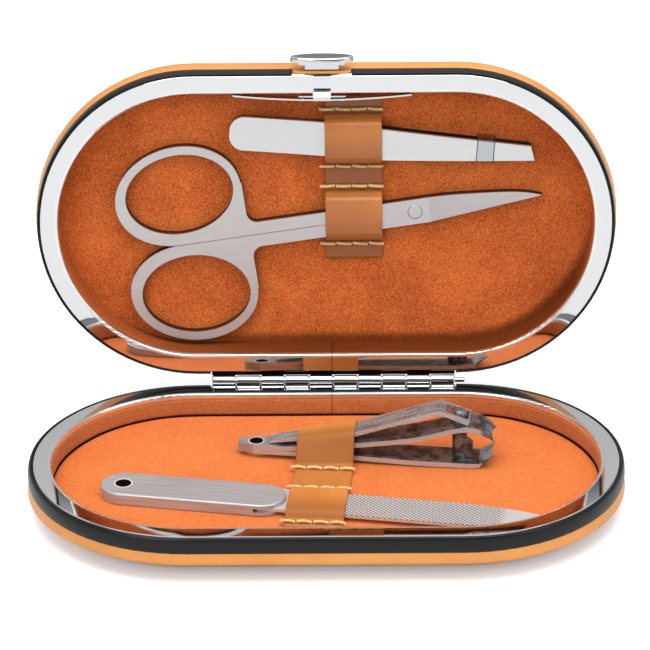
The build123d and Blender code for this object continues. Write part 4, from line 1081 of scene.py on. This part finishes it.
def stage_floor(half=4):
    """White paper. What the camera sees of it is lifted to a clean white."""
    mesh = bpy.data.meshes.new("studio_floor")
    corners = [(-half, -half, 0), (half, -half, 0), (half, half, 0), (-half, half, 0)]
    mesh.from_pydata(corners, [], [(0, 1, 2, 3)])
    paint = Finish("studio_paper", None, Roughness=0.95, Specular_IOR_Level=0.05,
                   Base_Color=(0.72, 0.72, 0.72, 1))
    glow = paint.node("ShaderNodeEmission", None, {"Color": (0.17, 0.19, 0.21, 1)})
    shaded = paint.node("ShaderNodeBsdfDiffuse", None, {"Color": (0.98, 1.06, 1.12, 1)})
    lifted = paint.node("ShaderNodeAddShader", None, {0: glow["Emission"], 1: shaded["BSDF"]})
    seen = paint.node("ShaderNodeLightPath")["Is Camera Ray"]
    choice = paint.node("ShaderNodeMixShader", None,
                        {0: seen, 1: paint.shader["BSDF"], 2: lifted["Shader"]})
    paint.feed(paint.output.made.inputs["Surface"], choice["Shader"])
    mesh.materials.append(paint.material)
    linked("studio_floor", mesh)


def studio_light(name, place, size, power):
    lamp = bpy.data.lights.new(name, "AREA")
    lamp.shape = "RECTANGLE"
    lamp.size, lamp.size_y = size
    lamp.energy = power
    light = linked(name, lamp)
    light.location = place
    light.rotation_euler = (LIGHTS_AIM - Vector(place)).to_track_quat("-Z", "Y").to_euler()


def studio_world():
    """A white room, brighter overhead than at the horizon, with a dark band in front above the
    camera that only polished metal shows. The camera sees plain white."""
    world = bpy.data.worlds.new("white_studio")
    bpy.context.scene.world = world
    world.use_nodes = True
    world.node_tree.nodes.clear()
    tree = Tree(world.node_tree)
    x, y, z = tree.parts(tree.node("ShaderNodeTexCoord")["Generated"])
    path = tree.node("ShaderNodeLightPath")
    in_front, over_horizon, under_lamps = (
        y.above(0.0, -0.35), z.above(0.22, 0.34), z.above(0.72, 0.62))
    band = in_front * over_horizon * (under_lamps * 0.93)
    brightness = z.above(0.0, 0.8, 0.22, 0.85) * (1 - band * path["Is Glossy Ray"])
    room = tree.node("ShaderNodeBackground", None, {"Color": WHITE, "Strength": brightness})
    seen = tree.node("ShaderNodeBackground", None, {"Color": WHITE})
    mix = tree.node("ShaderNodeMixShader", None, {
        0: path["Is Camera Ray"], 1: room["Background"], 2: seen["Background"]})
    tree.node("ShaderNodeOutputWorld", None, {"Surface": mix["Shader"]})


def front_camera():
    """Looks down at the case from in front, with a long lens and slightly rolled."""
    pitch, yaw, roll = radians(26.20), radians(-0.86), radians(-0.73)
    ahead = Vector((sin(yaw) * cos(pitch), cos(yaw) * cos(pitch), -sin(pitch)))
    right = Vector((cos(yaw), -sin(yaw), 0))
    up = right.cross(ahead)
    turned_right = right * cos(roll) + up * sin(roll)
    turned_up = up * cos(roll) - right * sin(roll)
    data = bpy.data.cameras.new("camera")
    data.lens = 219.3
    data.sensor_width = 36
    data.clip_start = 0.05
    camera = linked("camera", data)
    axes = Matrix((turned_right, turned_up, -ahead)).transposed().to_4x4()
    camera.matrix_world = Matrix.Translation((0.01091, -0.7172, 0.39385)) @ axes
    bpy.context.scene.camera = camera


stage_floor()
studio_world()
studio_light("overhead_softbox", (0.0, -0.15, 0.9), (0.9, 0.7), 6.0)
studio_light("front_softbox", (-0.5, -0.9, 0.55), (0.7, 0.5), 3.5)
studio_light("right_softbox", (0.75, -0.5, 0.45), (0.5, 0.5), 1.8)
front_camera()
bpy.context.scene.view_settings.view_transform = "Standard"
